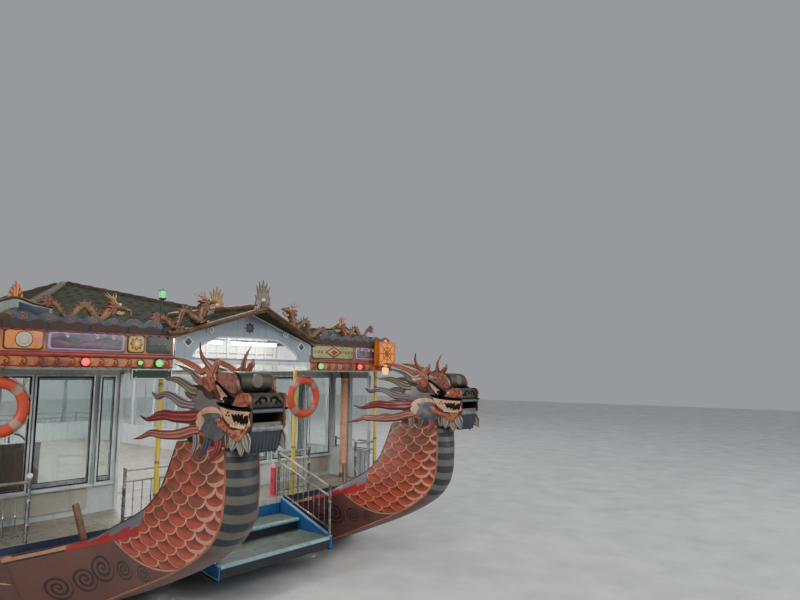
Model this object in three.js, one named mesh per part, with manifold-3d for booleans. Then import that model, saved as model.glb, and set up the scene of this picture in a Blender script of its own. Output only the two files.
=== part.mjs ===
// A twin-hulled river boat with a dragon's head and neck on each bow, a glazed cabin on a deck
// across both hulls, a painted frieze, a hipped roof and a gabled porch over the entrance.
//
// Units are millimetres. +X is forward, +Y is port, +Z is up. Sizes are set out from the deck:
// z = 0 is the deck's top. The finished group is moved so that its origin is the middle of the
// bounding box at the level of the hulls' bottoms.

import * as THREE from 'three';
import Module from 'manifold-3d';
import { mergeVertices } from 'three/addons/utils/BufferGeometryUtils.js';

const wasm = await Module();
wasm.setup();

// Driving dimensions

const GAP = 0.3;                 // left between pieces that rest on each other
const HULL_LINE = 1900;          // each bow's centre line, from the middle of the boat
const STERN_LINE = 2200;         // each propeller's and rudder's line
const KEEL = -1350;              // the hulls' flat bottoms
const HULL_TOP = -100 - GAP;
const BOW_JOINT = -2000;         // where a hull meets its bow
const DECK_THICK = 100;
const DECK_BOW = -1955;
const DECK_STERN = -15600;
const DECK_HALF = 3480;
const WALL_TOP = 2120;
const WALL = 50;                 // thickness of the cabin's walls
const SALOON_HALF = 3200;        // half the width of the saloon's floor boards and ceiling lining
const FLOOR_BOARDS = 6;
const LINING = 10;
const SIDE_WALL = 3330;          // the side walls' outer faces
const SIDE_WALL_BOW = -2060;
const FRONT_WALL = -3100;        // the front wall's outer face
const AFT_WALL = -14000;         // the aft wall's outer face
const ENTRANCE_HALF = 1270;
const FRIEZE_BOW = -1619;
const FRIEZE_STERN = -14700;
const FRIEZE_HALF = 3500;
const FRIEZE = 40;               // thickness of the frieze boards
const FRIEZE_LOW = 2124;
const FRIEZE_TOP = 2590;
const EAVE_BOW = -1570;
const EAVE_STERN = -14750;
const EAVE_HALF = 3560;
const ROOF_THICK = 60;
const EAVE_TOP = FRIEZE_TOP + GAP + ROOF_THICK;
const RIDGE_TOP = 4060;
const PORCH_HALF = 1400;
const PORCH_EAVE = 2600;
const PORCH_APEX = 3087;
const PORCH_BACK = -2500;        // the back of the lit space behind the gable
const PORCH_CHEEK = 1300;        // outer faces of the porch's cheeks
const POST_LINE = -1955;         // the front posts' middle
const STAIR_HALF = 1041;
const RAIL_HEIGHT = 764;
const NECK_TOP = 1300;
const HEAD_HALF = 200;           // half the width of the head's rolled front
const BOARD = 30;                // thickness of the head's side boards
const RUDDER_X = -15640;
const SHAFT_Z = -1130;
const SHAFT_R = 30;
const BORE_R = 30.6;
const PROPELLER_R = 220;
const ROUND = 24;                // facets of shafts and their bores

// Colours

const PAINT = {
    hull: 0x5a3a2c, scale: 0xb4532c, chest: 0x3a4249, head: 0x8a4a2c, deck: 0xb9b3a6,
    stair: 0x2f6da8, steel: 0xb9bcc0, wall: 0xb8bab2, glass: 0xcfe4ec, frieze: 0xd88a2a,
    ceiling: 0xe8e8e2, roof: 0x59604f, post: 0xd9c02a, gable: 0xb9bdc0, ornament: 0xb27a35,
    board: 0x1c3a2c, lamp: 0xe07a1f, buoy: 0xd8502a, red: 0xc2303a, bronze: 0xb08a4a,
    dark: 0x2a2c2e, wood: 0x8a5a34,
};

const METAL = ['steel', 'bronze'];

const boat = new THREE.Group();

function add(name, geometry, paint) {
    const metalness = METAL.includes(paint) ? 0.8 : 0.05;
    const material = new THREE.MeshStandardMaterial({ color: PAINT[paint], roughness: 0.5, metalness });
    const mesh = new THREE.Mesh(geometry, material);
    mesh.name = name;
    boat.add(mesh);
}

// Solids

function bare(geometry) {
    const plain = geometry.clone();
    plain.deleteAttribute('normal');
    plain.deleteAttribute('uv');
    return mergeVertices(plain, 1e-4);
}

function solid(geometry) {
    const plain = bare(geometry);
    const mesh = new wasm.Mesh({
        numProp: 3,
        vertProperties: new Float32Array(plain.attributes.position.array),
        triVerts: new Uint32Array(plain.index.array),
    });
    return new wasm.Manifold(mesh);
}

function surface(manifold) {
    const mesh = manifold.getMesh();
    const geometry = new THREE.BufferGeometry();
    geometry.setAttribute('position', new THREE.BufferAttribute(new Float32Array(mesh.vertProperties), 3));
    geometry.setIndex(new THREE.BufferAttribute(new Uint32Array(mesh.triVerts), 1));
    return geometry;
}

function join(geometries) {
    return surface(geometries.map(solid).reduce((whole, piece) => whole.add(piece)));
}

function cut(geometry, tools) {
    return surface(tools.map(solid).reduce((whole, tool) => whole.subtract(tool), solid(geometry)));
}

// The same solid on the other side of the boat: y changes sign and each triangle turns over.
function mirrored(geometry) {
    const plain = bare(geometry);
    const position = plain.attributes.position;
    for (let i = 0; i < position.count; i += 1) position.setY(i, -position.getY(i));
    const index = plain.index.array;
    for (let i = 0; i < index.length; i += 3) [index[i], index[i + 1]] = [index[i + 1], index[i]];
    return plain;
}

function pair(name, geometry, paint) {
    add(`port_${name}`, geometry, paint);
    add(`starboard_${name}`, mirrored(geometry), paint);
}

function box(x0, x1, y0, y1, z0, z1) {
    const geometry = new THREE.BoxGeometry(Math.abs(x1 - x0), Math.abs(y1 - y0), Math.abs(z1 - z0));
    return geometry.translate((x0 + x1) / 2, (y0 + y1) / 2, (z0 + z1) / 2);
}

function outline(points) {
    const corners = points.map(([u, v]) => new THREE.Vector2(u, v));
    return new THREE.Shape(THREE.ShapeUtils.area(corners) < 0 ? corners.reverse() : corners);
}

function slab(shape, thickness) {
    return new THREE.ExtrudeGeometry(shape, { depth: thickness, bevelEnabled: false, curveSegments: 8 });
}

// A board whose outline is given as [x, z], between two values of y.
function boardAlong(shape, y0, y1) {
    return slab(shape, y1 - y0).rotateX(Math.PI / 2).translate(0, y1, 0);
}

// A board whose outline is given as [y, z], between two values of x.
function boardAcross(shape, x0, x1) {
    const turn = new THREE.Matrix4().makeBasis(
        new THREE.Vector3(0, 1, 0), new THREE.Vector3(0, 0, 1), new THREE.Vector3(1, 0, 0));
    return slab(shape, x1 - x0).applyMatrix4(turn).translate(x0, 0, 0);
}

// A closed body through rings of equally many points, capped at both ends and facing out.
function loft(rings) {
    const count = rings[0].length;
    const last = (rings.length - 1) * count;
    const triangles = [];
    for (let r = 0; r + 1 < rings.length; r += 1) {
        for (let i = 0; i < count; i += 1) {
            const [a, b] = [r * count + i, r * count + ((i + 1) % count)];
            triangles.push([a, b, b + count], [a, b + count, a + count]);
        }
    }
    triangles.push(...capOf(rings[0]).map(([i, j, k]) => [k, j, i]));
    triangles.push(...capOf(rings[rings.length - 1]).map((t) => t.map((i) => i + last)));
    const geometry = new THREE.BufferGeometry();
    const flat = rings.flat().flatMap((p) => [p.x, p.y, p.z]);
    geometry.setAttribute('position', new THREE.Float32BufferAttribute(flat, 3));
    geometry.setIndex(triangles.flat());
    return volumeOf(geometry) > 0 ? geometry : turnedOver(geometry);
}

// A ring's flat cap, seen along the axis nearest to its normal; corners in the ring's order.
function capOf(ring) {
    const normal = new THREE.Vector3();
    ring.forEach((p, i) => normal.add(p.clone().sub(ring[0]).cross(ring[(i + 1) % ring.length].clone()
        .sub(ring[0]))));
    const [u, v] = ['x', 'y', 'z'].sort((a, b) => Math.abs(normal[a]) - Math.abs(normal[b]));
    const flat = ring.map((p) => new THREE.Vector2(p[u], p[v]));
    return THREE.ShapeUtils.triangulateShape(flat, []).map((t) => [...t].sort((a, b) => a - b));
}

function volumeOf(geometry) {
    const [p, t] = [geometry.attributes.position, geometry.index.array];
    const [a, b, c] = [new THREE.Vector3(), new THREE.Vector3(), new THREE.Vector3()];
    let sum = 0;
    for (let i = 0; i < t.length; i += 3) {
        a.fromBufferAttribute(p, t[i]);
        b.fromBufferAttribute(p, t[i + 1]);
        c.fromBufferAttribute(p, t[i + 2]);
        sum += a.dot(b.cross(c));
    }
    return sum;
}

function turnedOver(geometry) {
    const t = geometry.index.array;
    for (let i = 0; i < t.length; i += 3) [t[i], t[i + 1]] = [t[i + 1], t[i]];
    return geometry;
}

// A round bar between two points.
function rod(from, to, radius, facets = 8) {
    const [a, b] = [new THREE.Vector3(...from), new THREE.Vector3(...to)];
    const geometry = new THREE.CylinderGeometry(radius, radius, a.distanceTo(b), facets);
    const along = new THREE.Quaternion().setFromUnitVectors(
        new THREE.Vector3(0, 1, 0), b.clone().sub(a).normalize());
    return geometry.applyQuaternion(along).translate((a.x + b.x) / 2, (a.y + b.y) / 2, (a.z + b.z) / 2);
}

// Hulls

// Columns: x, keel z, top inner y, top outer y, bottom inner y, bottom outer y.
const HULL_STATIONS = [
    [-16300, -560, 1350, 3000, 1550, 2700],
    [-14500, -1050, 1180, 3250, 1380, 2950],
    [-12000, KEEL, 1100, 3350, 1250, 3100],
    [-4800, KEEL, 1100, 3350, 1250, 3100],
    [-3200, -1220, 1100, 3300, 1270, 3000],
    [BOW_JOINT - GAP, -950, 1120, 3170, 1300, 2800],
];

function hull() {
    const rings = HULL_STATIONS.map(([x, keel, topIn, topOut, lowIn, lowOut]) => [
        new THREE.Vector3(x, lowIn, keel), new THREE.Vector3(x, lowOut, keel),
        new THREE.Vector3(x, topOut, HULL_TOP), new THREE.Vector3(x, topIn, HULL_TOP)]);
    const tube = rod([-13600, STERN_LINE, SHAFT_Z], [-15150, STERN_LINE, SHAFT_Z], 60, ROUND);
    const fin = box(-15100, -13700, STERN_LINE - 16, STERN_LINE + 16, SHAFT_Z, -830);
    const shaftBore = rod([-14800, STERN_LINE, SHAFT_Z], [-15200, STERN_LINE, SHAFT_Z], BORE_R, ROUND);
    const rudderBore = rod([RUDDER_X, STERN_LINE, -1400], [RUDDER_X, STERN_LINE, 0], BORE_R, ROUND);
    return cut(join([loft(rings), tube, fin]), [shaftBore, rudderBore]);
}

// Bows: the hull sweeps up into the dragon's neck

// Columns: throat x and z, side x and z, back x and z, then half-widths from the hull's line:
// outboard at throat, side and back, inboard at throat, side and back, and the chest's bulge.
const NECK_STATIONS = [
    [-2000, -950, -2000, -400, -2000, HULL_TOP, 900, 1120, 1270, 600, 710, 780, 0],
    [-1950, -930, -1950, -380, -1950, HULL_TOP, 870, 1080, 1220, 580, 690, 760, 0],
    [-1300, -700, -1330, -120, -1360, 60, 480, 620, 560, 420, 540, 500, 20],
    [-700, -440, -820, 20, -900, 275, 330, 450, 440, 310, 430, 420, 40],
    [0, -130, -250, 230, -520, 490, 240, 340, 320, 240, 330, 320, 60],
    [540, 180, 150, 480, -310, 700, 205, 275, 265, 205, 275, 265, 80],
    [790, 470, 300, 700, -210, 880, 200, 250, 245, 200, 250, 245, 90],
    [850, 800, 350, 880, -130, 1060, 200, 240, 235, 200, 240, 235, 90],
    [850, 1100, 370, 1120, -80, 1190, 200, 235, 225, 200, 235, 225, 80],
    [830, NECK_TOP, 370, NECK_TOP, -40, NECK_TOP, 200, 230, 215, 200, 230, 215, 70],
];

function bow() {
    const rings = NECK_STATIONS.map((row) => {
        const [tx, tz, sx, sz, bx, bz, outT, outS, outB, inT, inS, inB, bulge] = row;
        const throat = new THREE.Vector3(tx, HULL_LINE, tz);
        const lean = throat.clone().sub(new THREE.Vector3(bx, HULL_LINE, bz)).normalize();
        const chest = (y, share) => throat.clone().addScaledVector(lean, bulge * share).setY(HULL_LINE + y);
        return [
            chest(-inT, 0), chest(-inT * 0.6, 0.75), chest((outT - inT) / 2, 1), chest(outT * 0.6, 0.75),
            chest(outT, 0),
            new THREE.Vector3(sx, HULL_LINE + outS, sz), new THREE.Vector3(bx, HULL_LINE + outB, bz),
            new THREE.Vector3(bx, HULL_LINE - inB, bz), new THREE.Vector3(sx, HULL_LINE - inS, sz)];
    });
    const bitt = rod([-1800, HULL_LINE + 600, -300], [-1830, HULL_LINE + 600, 300], 42, 12);
    return join([loft(rings), bitt]);
}

// Heads: a rolled sheet between two cut-out side boards

// The side board's outline as [x, z], from the ear over the brow, snout, jaw and mane.
const HEAD_BOARD = [
    [-220, 2240], [150, 2175], [470, 2085], [730, 2095], [990, 2085], [1080, 1990], [1080, 1890],
    [1190, 1875], [1280, 1835], [1300, 1760], [1285, 1700], [1290, 1630], [1290, 1530], [1250, 1495],
    [1180, 1410], [1110, 1370], [990, 1400], [840, 1450], [820, 1330], [550, 1100], [640, 1340],
    [310, 1075], [360, 1340], [150, 1330], [-200, 1290], [-640, 1270], [-1070, 1250], [-640, 1345],
    [-200, 1420], [320, 1480], [-30, 1490], [-430, 1500], [-900, 1550], [-440, 1620], [-50, 1640],
    [300, 1655], [60, 1690], [-330, 1770], [-620, 1830], [-300, 1860], [-70, 1840], [280, 1860],
    [60, 1900], [-200, 1975], [-340, 2000], [-40, 2045], [100, 1990], [280, 1955], [160, 2080],
];

const MOUTH_HOLE = [[1010, 1650], [1200, 1640], [1215, 1590], [1150, 1545], [1050, 1555]];

// The rolled front's outline as [x, z]: forehead, nose, open mouth, jaw and beard.
function headRoll() {
    const shape = new THREE.Shape();
    shape.moveTo(0, NECK_TOP + GAP);
    shape.lineTo(940, NECK_TOP + GAP);
    shape.lineTo(980, 1250);
    shape.lineTo(1290, 1250);
    shape.lineTo(1290, 1480);
    shape.lineTo(1240, 1550);
    shape.lineTo(960, 1550);
    shape.lineTo(930, 1620);
    shape.lineTo(960, 1690);
    shape.absarc(1195, 1765, 80, -Math.PI / 2, Math.PI / 2, false);
    shape.lineTo(1080, 1850);
    shape.absarc(975, 1970, 112, -Math.PI / 4, Math.PI / 2, false);
    shape.lineTo(560, 2080);
    shape.lineTo(300, 1950);
    shape.lineTo(120, 1600);
    return shape;
}

function horn(side) {
    // Columns: x, distance from the head's middle, z, radius.
    const stations = [[600, 150, 2010, 62], [520, 215, 2130, 48], [470, 275, 2230, 32], [480, 325, 2330, 18],
        [518, 345, 2406, 5]];
    const turn = (k) => (k * Math.PI) / 4;
    return loft(stations.map(([x, y, z, r]) => Array.from({ length: 8 }, (_, k) => new THREE.Vector3(
        x + r * Math.cos(turn(k)), HULL_LINE + side * (y + r * Math.sin(turn(k)) * 0.8),
        z - r * Math.sin(turn(k)) * 0.5))));
}

function head() {
    const roll = boardAlong(headRoll(), HULL_LINE - HEAD_HALF - 1, HULL_LINE + HEAD_HALF + 1);
    const boards = [-1, 1].map((side) => {
        const inner = HULL_LINE + side * HEAD_HALF;
        const outer = inner + side * BOARD;
        const [low, high] = [Math.min(inner, outer), Math.max(inner, outer)];
        const shape = outline(HEAD_BOARD);
        shape.holes.push(outline(MOUTH_HOLE));
        return boardAlong(shape, low, high);
    });
    const clearOfNeck = box(-200, 960, HULL_LINE - 320, HULL_LINE + 320, 1000, NECK_TOP + GAP);
    const neckRoom = [-1, 1].map((side) => box(-400, 900, HULL_LINE + side * 199, HULL_LINE + side * 260,
        1000, NECK_TOP + GAP));
    return cut(join([roll, ...boards, horn(1), horn(-1)]), [clearOfNeck, ...neckRoom]);
}

// Tails: the sterns end in a raised, curled tail

// Columns: x, z, half depth, half width, lean of the section in degrees from level.
const TAIL_STATIONS = [
    [-16070, HULL_TOP + GAP, 210, 160, 0], [-16230, 250, 190, 150, 20], [-16480, 560, 170, 130, 38],
    [-16760, 860, 150, 105, 30], [-16930, 1180, 130, 80, 10], [-16900, 1480, 100, 55, -20],
    [-16760, 1700, 60, 30, -40],
];

function tail() {
    return loft(TAIL_STATIONS.map(([x, z, depth, width, lean]) => {
        const tilt = THREE.MathUtils.degToRad(lean);
        const edge = (u, v) => new THREE.Vector3(
            x + u * depth * Math.cos(tilt), STERN_LINE + v * width, z + u * depth * Math.sin(tilt));
        return [edge(1, 0), edge(0.6, 0.9), edge(-0.6, 0.9), edge(-1, 0), edge(-0.6, -0.9), edge(0.6, -0.9)];
    }));
}

// Deck and stairs

function deck() {
    const plate = box(DECK_STERN, DECK_BOW, -DECK_HALF, DECK_HALF, -DECK_THICK, 0);
    const beams = [-3000, -6500, -10000, -13500].map((x) => box(x - 75, x + 75, -1095, 1095, -420, -50));
    const floor = box(AFT_WALL + 100, HELM.x - 400, -SALOON_HALF, SALOON_HALF, -10, FLOOR_BOARDS);
    return join([plate, floor, ...beams]);
}

// Columns: front edge x, top z.
const TREADS = [[-1443, -264], [-725, -447]];
const TREAD_THICK = 60;
const STRINGER = 50;

function stairs() {
    const start = DECK_BOW + GAP;
    const back = [start, TREADS[0][0]];
    const treads = TREADS.map(([front, top], i) => box(back[i] - (i ? 60 : 0), front, -STAIR_HALF + 5,
        STAIR_HALF - 5, top - TREAD_THICK, top));
    const risers = TREADS.map(([front, top]) => box(front - 30, front, -STAIR_HALF + 5, STAIR_HALF - 5,
        top - 190, top - 10));
    const side = [[start, 0], [start, -480], [-725, -637], [-725, -447]];
    const stringers = [-1, 1].map((s) => boardAlong(outline(side),
        Math.min(s * STAIR_HALF, s * (STAIR_HALF - STRINGER)),
        Math.max(s * STAIR_HALF, s * (STAIR_HALF - STRINGER))));
    return join([...treads, ...risers, ...stringers]);
}

// Railings

const POST = 46;
const BAR = 34;
const BALUSTER = 16;

function upright(x, y, foot, height, width) {
    return box(x - width / 2, x + width / 2, y - width / 2, y + width / 2, foot, foot + height);
}

// One straight run: end posts, a top bar, a lower bar and balusters between the bars.
function run(from, to, { posts = [true, true], spacing = 130 } = {}) {
    const [a, b] = [new THREE.Vector3(...from), new THREE.Vector3(...to)];
    const pieces = [];
    if (posts[0]) pieces.push(upright(a.x, a.y, a.z, RAIL_HEIGHT, POST));
    if (posts[1]) pieces.push(upright(b.x, b.y, b.z, RAIL_HEIGHT, POST));
    for (const height of [RAIL_HEIGHT - 40, RAIL_HEIGHT - 190, 90]) {
        const lift = new THREE.Vector3(0, 0, height);
        pieces.push(rod(a.clone().add(lift).toArray(), b.clone().add(lift).toArray(), BAR / 2, 6));
    }
    const count = Math.round(a.distanceTo(b) / spacing);
    for (let i = 1; i < count; i += 1) {
        const p = a.clone().lerp(b, i / count);
        pieces.push(upright(p.x, p.y, p.z + 90, RAIL_HEIGHT - 280, BALUSTER));
    }
    return pieces;
}

const RAIL_FOOT = GAP;
const RAIL_LINE = DECK_BOW - 65;

function stairRail() {
    const y = STAIR_HALF - STRINGER / 2;
    const head = [RAIL_LINE, y, RAIL_FOOT];
    const slope = TREADS[1][1] / (TREADS[1][0] - DECK_BOW - GAP);
    const footX = TREADS[1][0] - 40;
    const foot = [footX, y, (footX - POST / 2 - DECK_BOW - GAP) * slope + GAP];
    return join(run(head, foot));
}

// The rail between a stair's head post and the bow, across the deck's front edge.
function frontRail() {
    const start = STAIR_HALF - STRINGER / 2 + POST / 2 + GAP;
    return join(run([RAIL_LINE, start, RAIL_FOOT], [RAIL_LINE, 1700, RAIL_FOOT], { posts: [false, true] }));
}

function cornerRail() {
    const corner = [RAIL_LINE, DECK_HALF - 40, RAIL_FOOT];
    return join([
        ...run([RAIL_LINE, 2910, RAIL_FOOT], corner),
        ...run(corner, [FRONT_WALL, DECK_HALF - 40, RAIL_FOOT], { posts: [false, true] })]);
}

function aftRail() {
    const y = DECK_HALF - 40;
    const corner = [DECK_STERN + 40, y, RAIL_FOOT];
    return join([
        ...run([AFT_WALL - 60, y, RAIL_FOOT], corner, { spacing: 160 }),
        ...run(corner, [DECK_STERN + 40, 700, RAIL_FOOT], { posts: [false, true], spacing: 160 })]);
}

// Cabin

const SILL = 450;
const WINDOW_TOP = 2000;

function frontWall() {
    // Columns: low y, high y of each window in the port half; the other half is its mirror.
    const windows = [[1400, 1590], [1730, 2500], [2590, 3200]];
    const wall = box(FRONT_WALL - WALL, FRONT_WALL, -SIDE_WALL + WALL + GAP, SIDE_WALL - WALL - GAP, GAP,
        WALL_TOP);
    const track = box(FRONT_WALL - 115, FRONT_WALL - WALL + 1, -2620, 2620, 2066, WALL_TOP);
    const slot = box(FRONT_WALL - 93.4, FRONT_WALL - 76.6, -2560, 2560, 2000, 2106);
    const openings = [-1, 1].flatMap((s) => windows.map(([low, high]) => box(FRONT_WALL - 90,
        FRONT_WALL + 50, s * low, s * high, SILL, WINDOW_TOP)));
    const entrance = box(FRONT_WALL - WALL - 0.5, FRONT_WALL + 50, -ENTRANCE_HALF, ENTRANCE_HALF, -10, 2040);
    const trackRoom = box(FRONT_WALL - 200, FRONT_WALL - WALL, -2700, 2700, 1900, 2066);
    return cut(join([wall, track]), [...openings, entrance, slot, trackRoom]);
}

const SIDE_WINDOWS = 9;

function sideWindows() {
    const start = FRONT_WALL - WALL - 130;
    const pitch = (start - AFT_WALL - WALL - 80) / SIDE_WINDOWS;
    return Array.from({ length: SIDE_WINDOWS }, (_, i) => [start - i * pitch - pitch + 90, start - i * pitch]);
}

function sideWall() {
    const wall = box(AFT_WALL, SIDE_WALL_BOW, SIDE_WALL - WALL, SIDE_WALL, GAP, WALL_TOP);
    const bays = [...sideWindows(), [-3050, -2640], [-2550, -2070]];
    return cut(wall, bays.map(([x0, x1]) => box(x0, x1, SIDE_WALL - 100, SIDE_WALL + 50, SILL + 100,
        WINDOW_TOP)));
}

const AFT_DOOR_HALF = 400;
const AFT_HINGE = { x: AFT_WALL - 10, y: AFT_DOOR_HALF };

function aftWall() {
    const y = SIDE_WALL - WALL - GAP;
    const wall = box(AFT_WALL, AFT_WALL + WALL, -y, y, GAP, WALL_TOP);
    const doorway = box(AFT_WALL - 50, AFT_WALL + 100, -AFT_DOOR_HALF, AFT_DOOR_HALF, -10, 1960);
    const windows = [-1, 1].flatMap((s) => [[560, 1400], [1500, 2340], [2440, 3180]].map(([low, high]) => box(
        AFT_WALL - 50, AFT_WALL + 100, s * low, s * high, SILL + 100, WINDOW_TOP)));
    const knuckles = [300, 1500].flatMap((z) => [
        rod([AFT_HINGE.x, AFT_HINGE.y, z + 120 + GAP], [AFT_HINGE.x, AFT_HINGE.y, z + 180], 9.6, 12),
        box(AFT_HINGE.x, AFT_WALL + 1, AFT_HINGE.y + 1, AFT_HINGE.y + 60, z + 120 + GAP, z + 180)]);
    return join([cut(wall, [doorway, ...windows]), ...knuckles]);
}

const GLASS = 6;

function frontGlass() {
    return box(FRONT_WALL + GAP, FRONT_WALL + GAP + GLASS, 1380, 3220, SILL - 20, WINDOW_TOP + 20);
}

function sideGlass() {
    return box(AFT_WALL + 60, SIDE_WALL_BOW - 50, SIDE_WALL + GAP, SIDE_WALL + GAP + GLASS, SILL + 80,
        WINDOW_TOP + 20);
}

function aftGlass() {
    return box(AFT_WALL + WALL + GAP, AFT_WALL + WALL + GAP + GLASS, 540, 3200, SILL + 80, WINDOW_TOP + 20);
}

const LEAF = 40;
const PANE = 8;

// The room cut from one face of a leaf, which leaves a pane's thickness in the middle.
function recess(middle, side, y0, y1, z0, z1) {
    return box(middle + (side * PANE) / 2, middle + side * LEAF, y0, y1, z0, z1);
}

// A sliding entrance leaf, parked open behind the fixed glazing and hung from two shoes in the track.
function slidingDoor() {
    const back = FRONT_WALL - 105;
    const [low, high] = [ENTRANCE_HALF + 5, ENTRANCE_HALF * 2 + 5];
    const leaf = box(back, back + LEAF, low, high, 20, 2060);
    const panes = [-1, 1].map((s) => recess(back + LEAF / 2, s, low + 90, high - 90, 500, 1970));
    const shoes = [low + 50, high - 170].map((y) => box(back + 12, back + 28, y, y + 120, 2050, 2100));
    return join([cut(leaf, panes), ...shoes]);
}

function aftDoor() {
    const leaf = box(AFT_WALL + 5, AFT_WALL + 5 + LEAF, -AFT_DOOR_HALF + 6, AFT_DOOR_HALF - 6, 20, 1950);
    const panes = [-1, 1].map((s) => recess(AFT_WALL + 5 + LEAF / 2, s, -AFT_DOOR_HALF + 100,
        AFT_DOOR_HALF - 100, 950, 1850));
    const hinges = [300, 1500].flatMap((z) => [
        rod([AFT_HINGE.x, AFT_HINGE.y, z], [AFT_HINGE.x, AFT_HINGE.y, z + 120], 9.6, 12),
        box(AFT_HINGE.x, AFT_WALL + 7, 330, AFT_HINGE.y - 7, z, z + 120),
        box(AFT_HINGE.x - 4, AFT_HINGE.x + 4, 380, AFT_HINGE.y, z, z + 120)]);
    return join([cut(leaf, panes), ...hinges]);
}

// Roof

function ceiling() {
    const half = FRIEZE_HALF - FRIEZE - GAP;
    const panel = box(FRIEZE_STERN + FRIEZE + GAP, FRIEZE_BOW - FRIEZE - GAP, -half, half, WALL_TOP + GAP,
        WALL_TOP + 30);
    const room = box(PORCH_BACK, FRIEZE_BOW + 100, -PORCH_CHEEK - GAP, PORCH_CHEEK + GAP, WALL_TOP - 50,
        WALL_TOP + 100);
    const back = box(PORCH_BACK - 30, PORCH_BACK, -PORCH_CHEEK - 30, PORCH_CHEEK + 30, WALL_TOP + 15, 2735);
    const sides = [-1, 1].map((s) => box(PORCH_BACK - 30, FRIEZE_BOW - FRIEZE - GAP, s * (PORCH_CHEEK + GAP),
        s * (PORCH_CHEEK + 30), WALL_TOP + 15, 2560));
    const lining = box(AFT_WALL + 100, FRONT_WALL - 300, -SALOON_HALF, SALOON_HALF, WALL_TOP - LINING,
        WALL_TOP + 10);
    return join([cut(panel, [room]), lining, back, ...sides]);
}

// Columns: inset from the eaves along x, inset along y, height of the top surface.
const ROOF_RINGS = [
    [0, 0, EAVE_TOP], [110, 110, EAVE_TOP], [2450, 1225, 3080], [4900, 2450, 3600], [7000, 3500, RIDGE_TOP],
];
const CORNER_LIFT = 60;

function roofRing([insetX, insetY, z], drop) {
    const [x0, x1] = [EAVE_STERN + Math.min(insetX, 6000), EAVE_BOW - insetX];
    const y = EAVE_HALF - insetY;
    const steps = [-1, -0.8, 0, 0.8];
    const lift = (u) => (insetX === 0 ? CORNER_LIFT * Math.max(0, Math.abs(u) - 0.8) * 5 : 0);
    const point = (u, v, w) => new THREE.Vector3((x0 + x1) / 2 + (u * (x1 - x0)) / 2, v * y, z - drop + lift(w));
    return [
        ...steps.map((u) => point(u, -1, u)), ...steps.map((v) => point(1, v, v)),
        ...steps.map((u) => point(-u, 1, u)), ...steps.map((v) => point(-1, -v, v))];
}

function roofBody() {
    const base = roofRing([0, 0, EAVE_TOP], ROOF_THICK);
    return loft([base, ...ROOF_RINGS.map((ring) => roofRing(ring, 0))]);
}

function roofShell() {
    const inner = ROOF_RINGS.map((ring) => roofRing(ring, ROOF_THICK)).reverse();
    return loft([...inner, ...ROOF_RINGS.map((ring) => roofRing(ring, 0))]);
}

// The porch roof is a saddle whose ridge juts forward; a "house" is the space under its top.
function porchRings(x0, top, bottom) {
    const apexBow = -1228;
    const eaveBow = -1590;
    const ring = (xApex, xEave) => [
        new THREE.Vector3(xEave, -PORCH_HALF, PORCH_EAVE + top), new THREE.Vector3(xApex, 0, PORCH_APEX + top),
        new THREE.Vector3(xEave, PORCH_HALF, PORCH_EAVE + top),
        new THREE.Vector3(xEave, PORCH_HALF, PORCH_EAVE + bottom),
        new THREE.Vector3(xApex, 0, PORCH_APEX + bottom),
        new THREE.Vector3(xEave, -PORCH_HALF, PORCH_EAVE + bottom)];
    return [ring(x0, x0), ring(apexBow, eaveBow)];
}

const PORCH_THICK = 50;

function porchRoof() {
    const saddle = loft(porchRings(-4100, 0, -PORCH_THICK));
    const ahead = box(PORCH_BACK, 0, -4000, 4000, 0, 5000);
    const behind = cut(roofBody().translate(0, 0, GAP), [ahead]);
    return cut(saddle, [behind, box(-5000, PORCH_BACK, -2000, 2000, 2000, FRIEZE_TOP + 10)]);
}

function roof() {
    const slope = (PORCH_APEX - PORCH_EAVE) / PORCH_HALF;
    const wide = PORCH_HALF + GAP;
    const house = [[-wide, 1500], [wide, 1500], [wide, PORCH_EAVE + 1], [0, PORCH_APEX + 1 + slope],
        [-wide, PORCH_EAVE + 1]];
    return cut(roofShell(), [boardAcross(outline(house), PORCH_BACK - GAP, 0)]);
}

function friezeFront() {
    const eave = PORCH_HALF + GAP;
    return boardAcross(outline([[PORCH_CHEEK + GAP, FRIEZE_LOW], [FRIEZE_HALF, FRIEZE_LOW],
        [FRIEZE_HALF, FRIEZE_TOP], [eave, FRIEZE_TOP], [eave, PORCH_EAVE - PORCH_THICK - 1],
        [PORCH_CHEEK + GAP, PORCH_EAVE - PORCH_THICK - 1]]), FRIEZE_BOW - FRIEZE, FRIEZE_BOW);
}

function friezeSide() {
    return box(FRIEZE_STERN + FRIEZE + GAP, FRIEZE_BOW - FRIEZE - GAP, FRIEZE_HALF - FRIEZE, FRIEZE_HALF,
        FRIEZE_LOW, FRIEZE_TOP);
}

function friezeAft() {
    return box(FRIEZE_STERN, FRIEZE_STERN + FRIEZE, -FRIEZE_HALF, FRIEZE_HALF, FRIEZE_LOW, FRIEZE_TOP);
}

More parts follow.
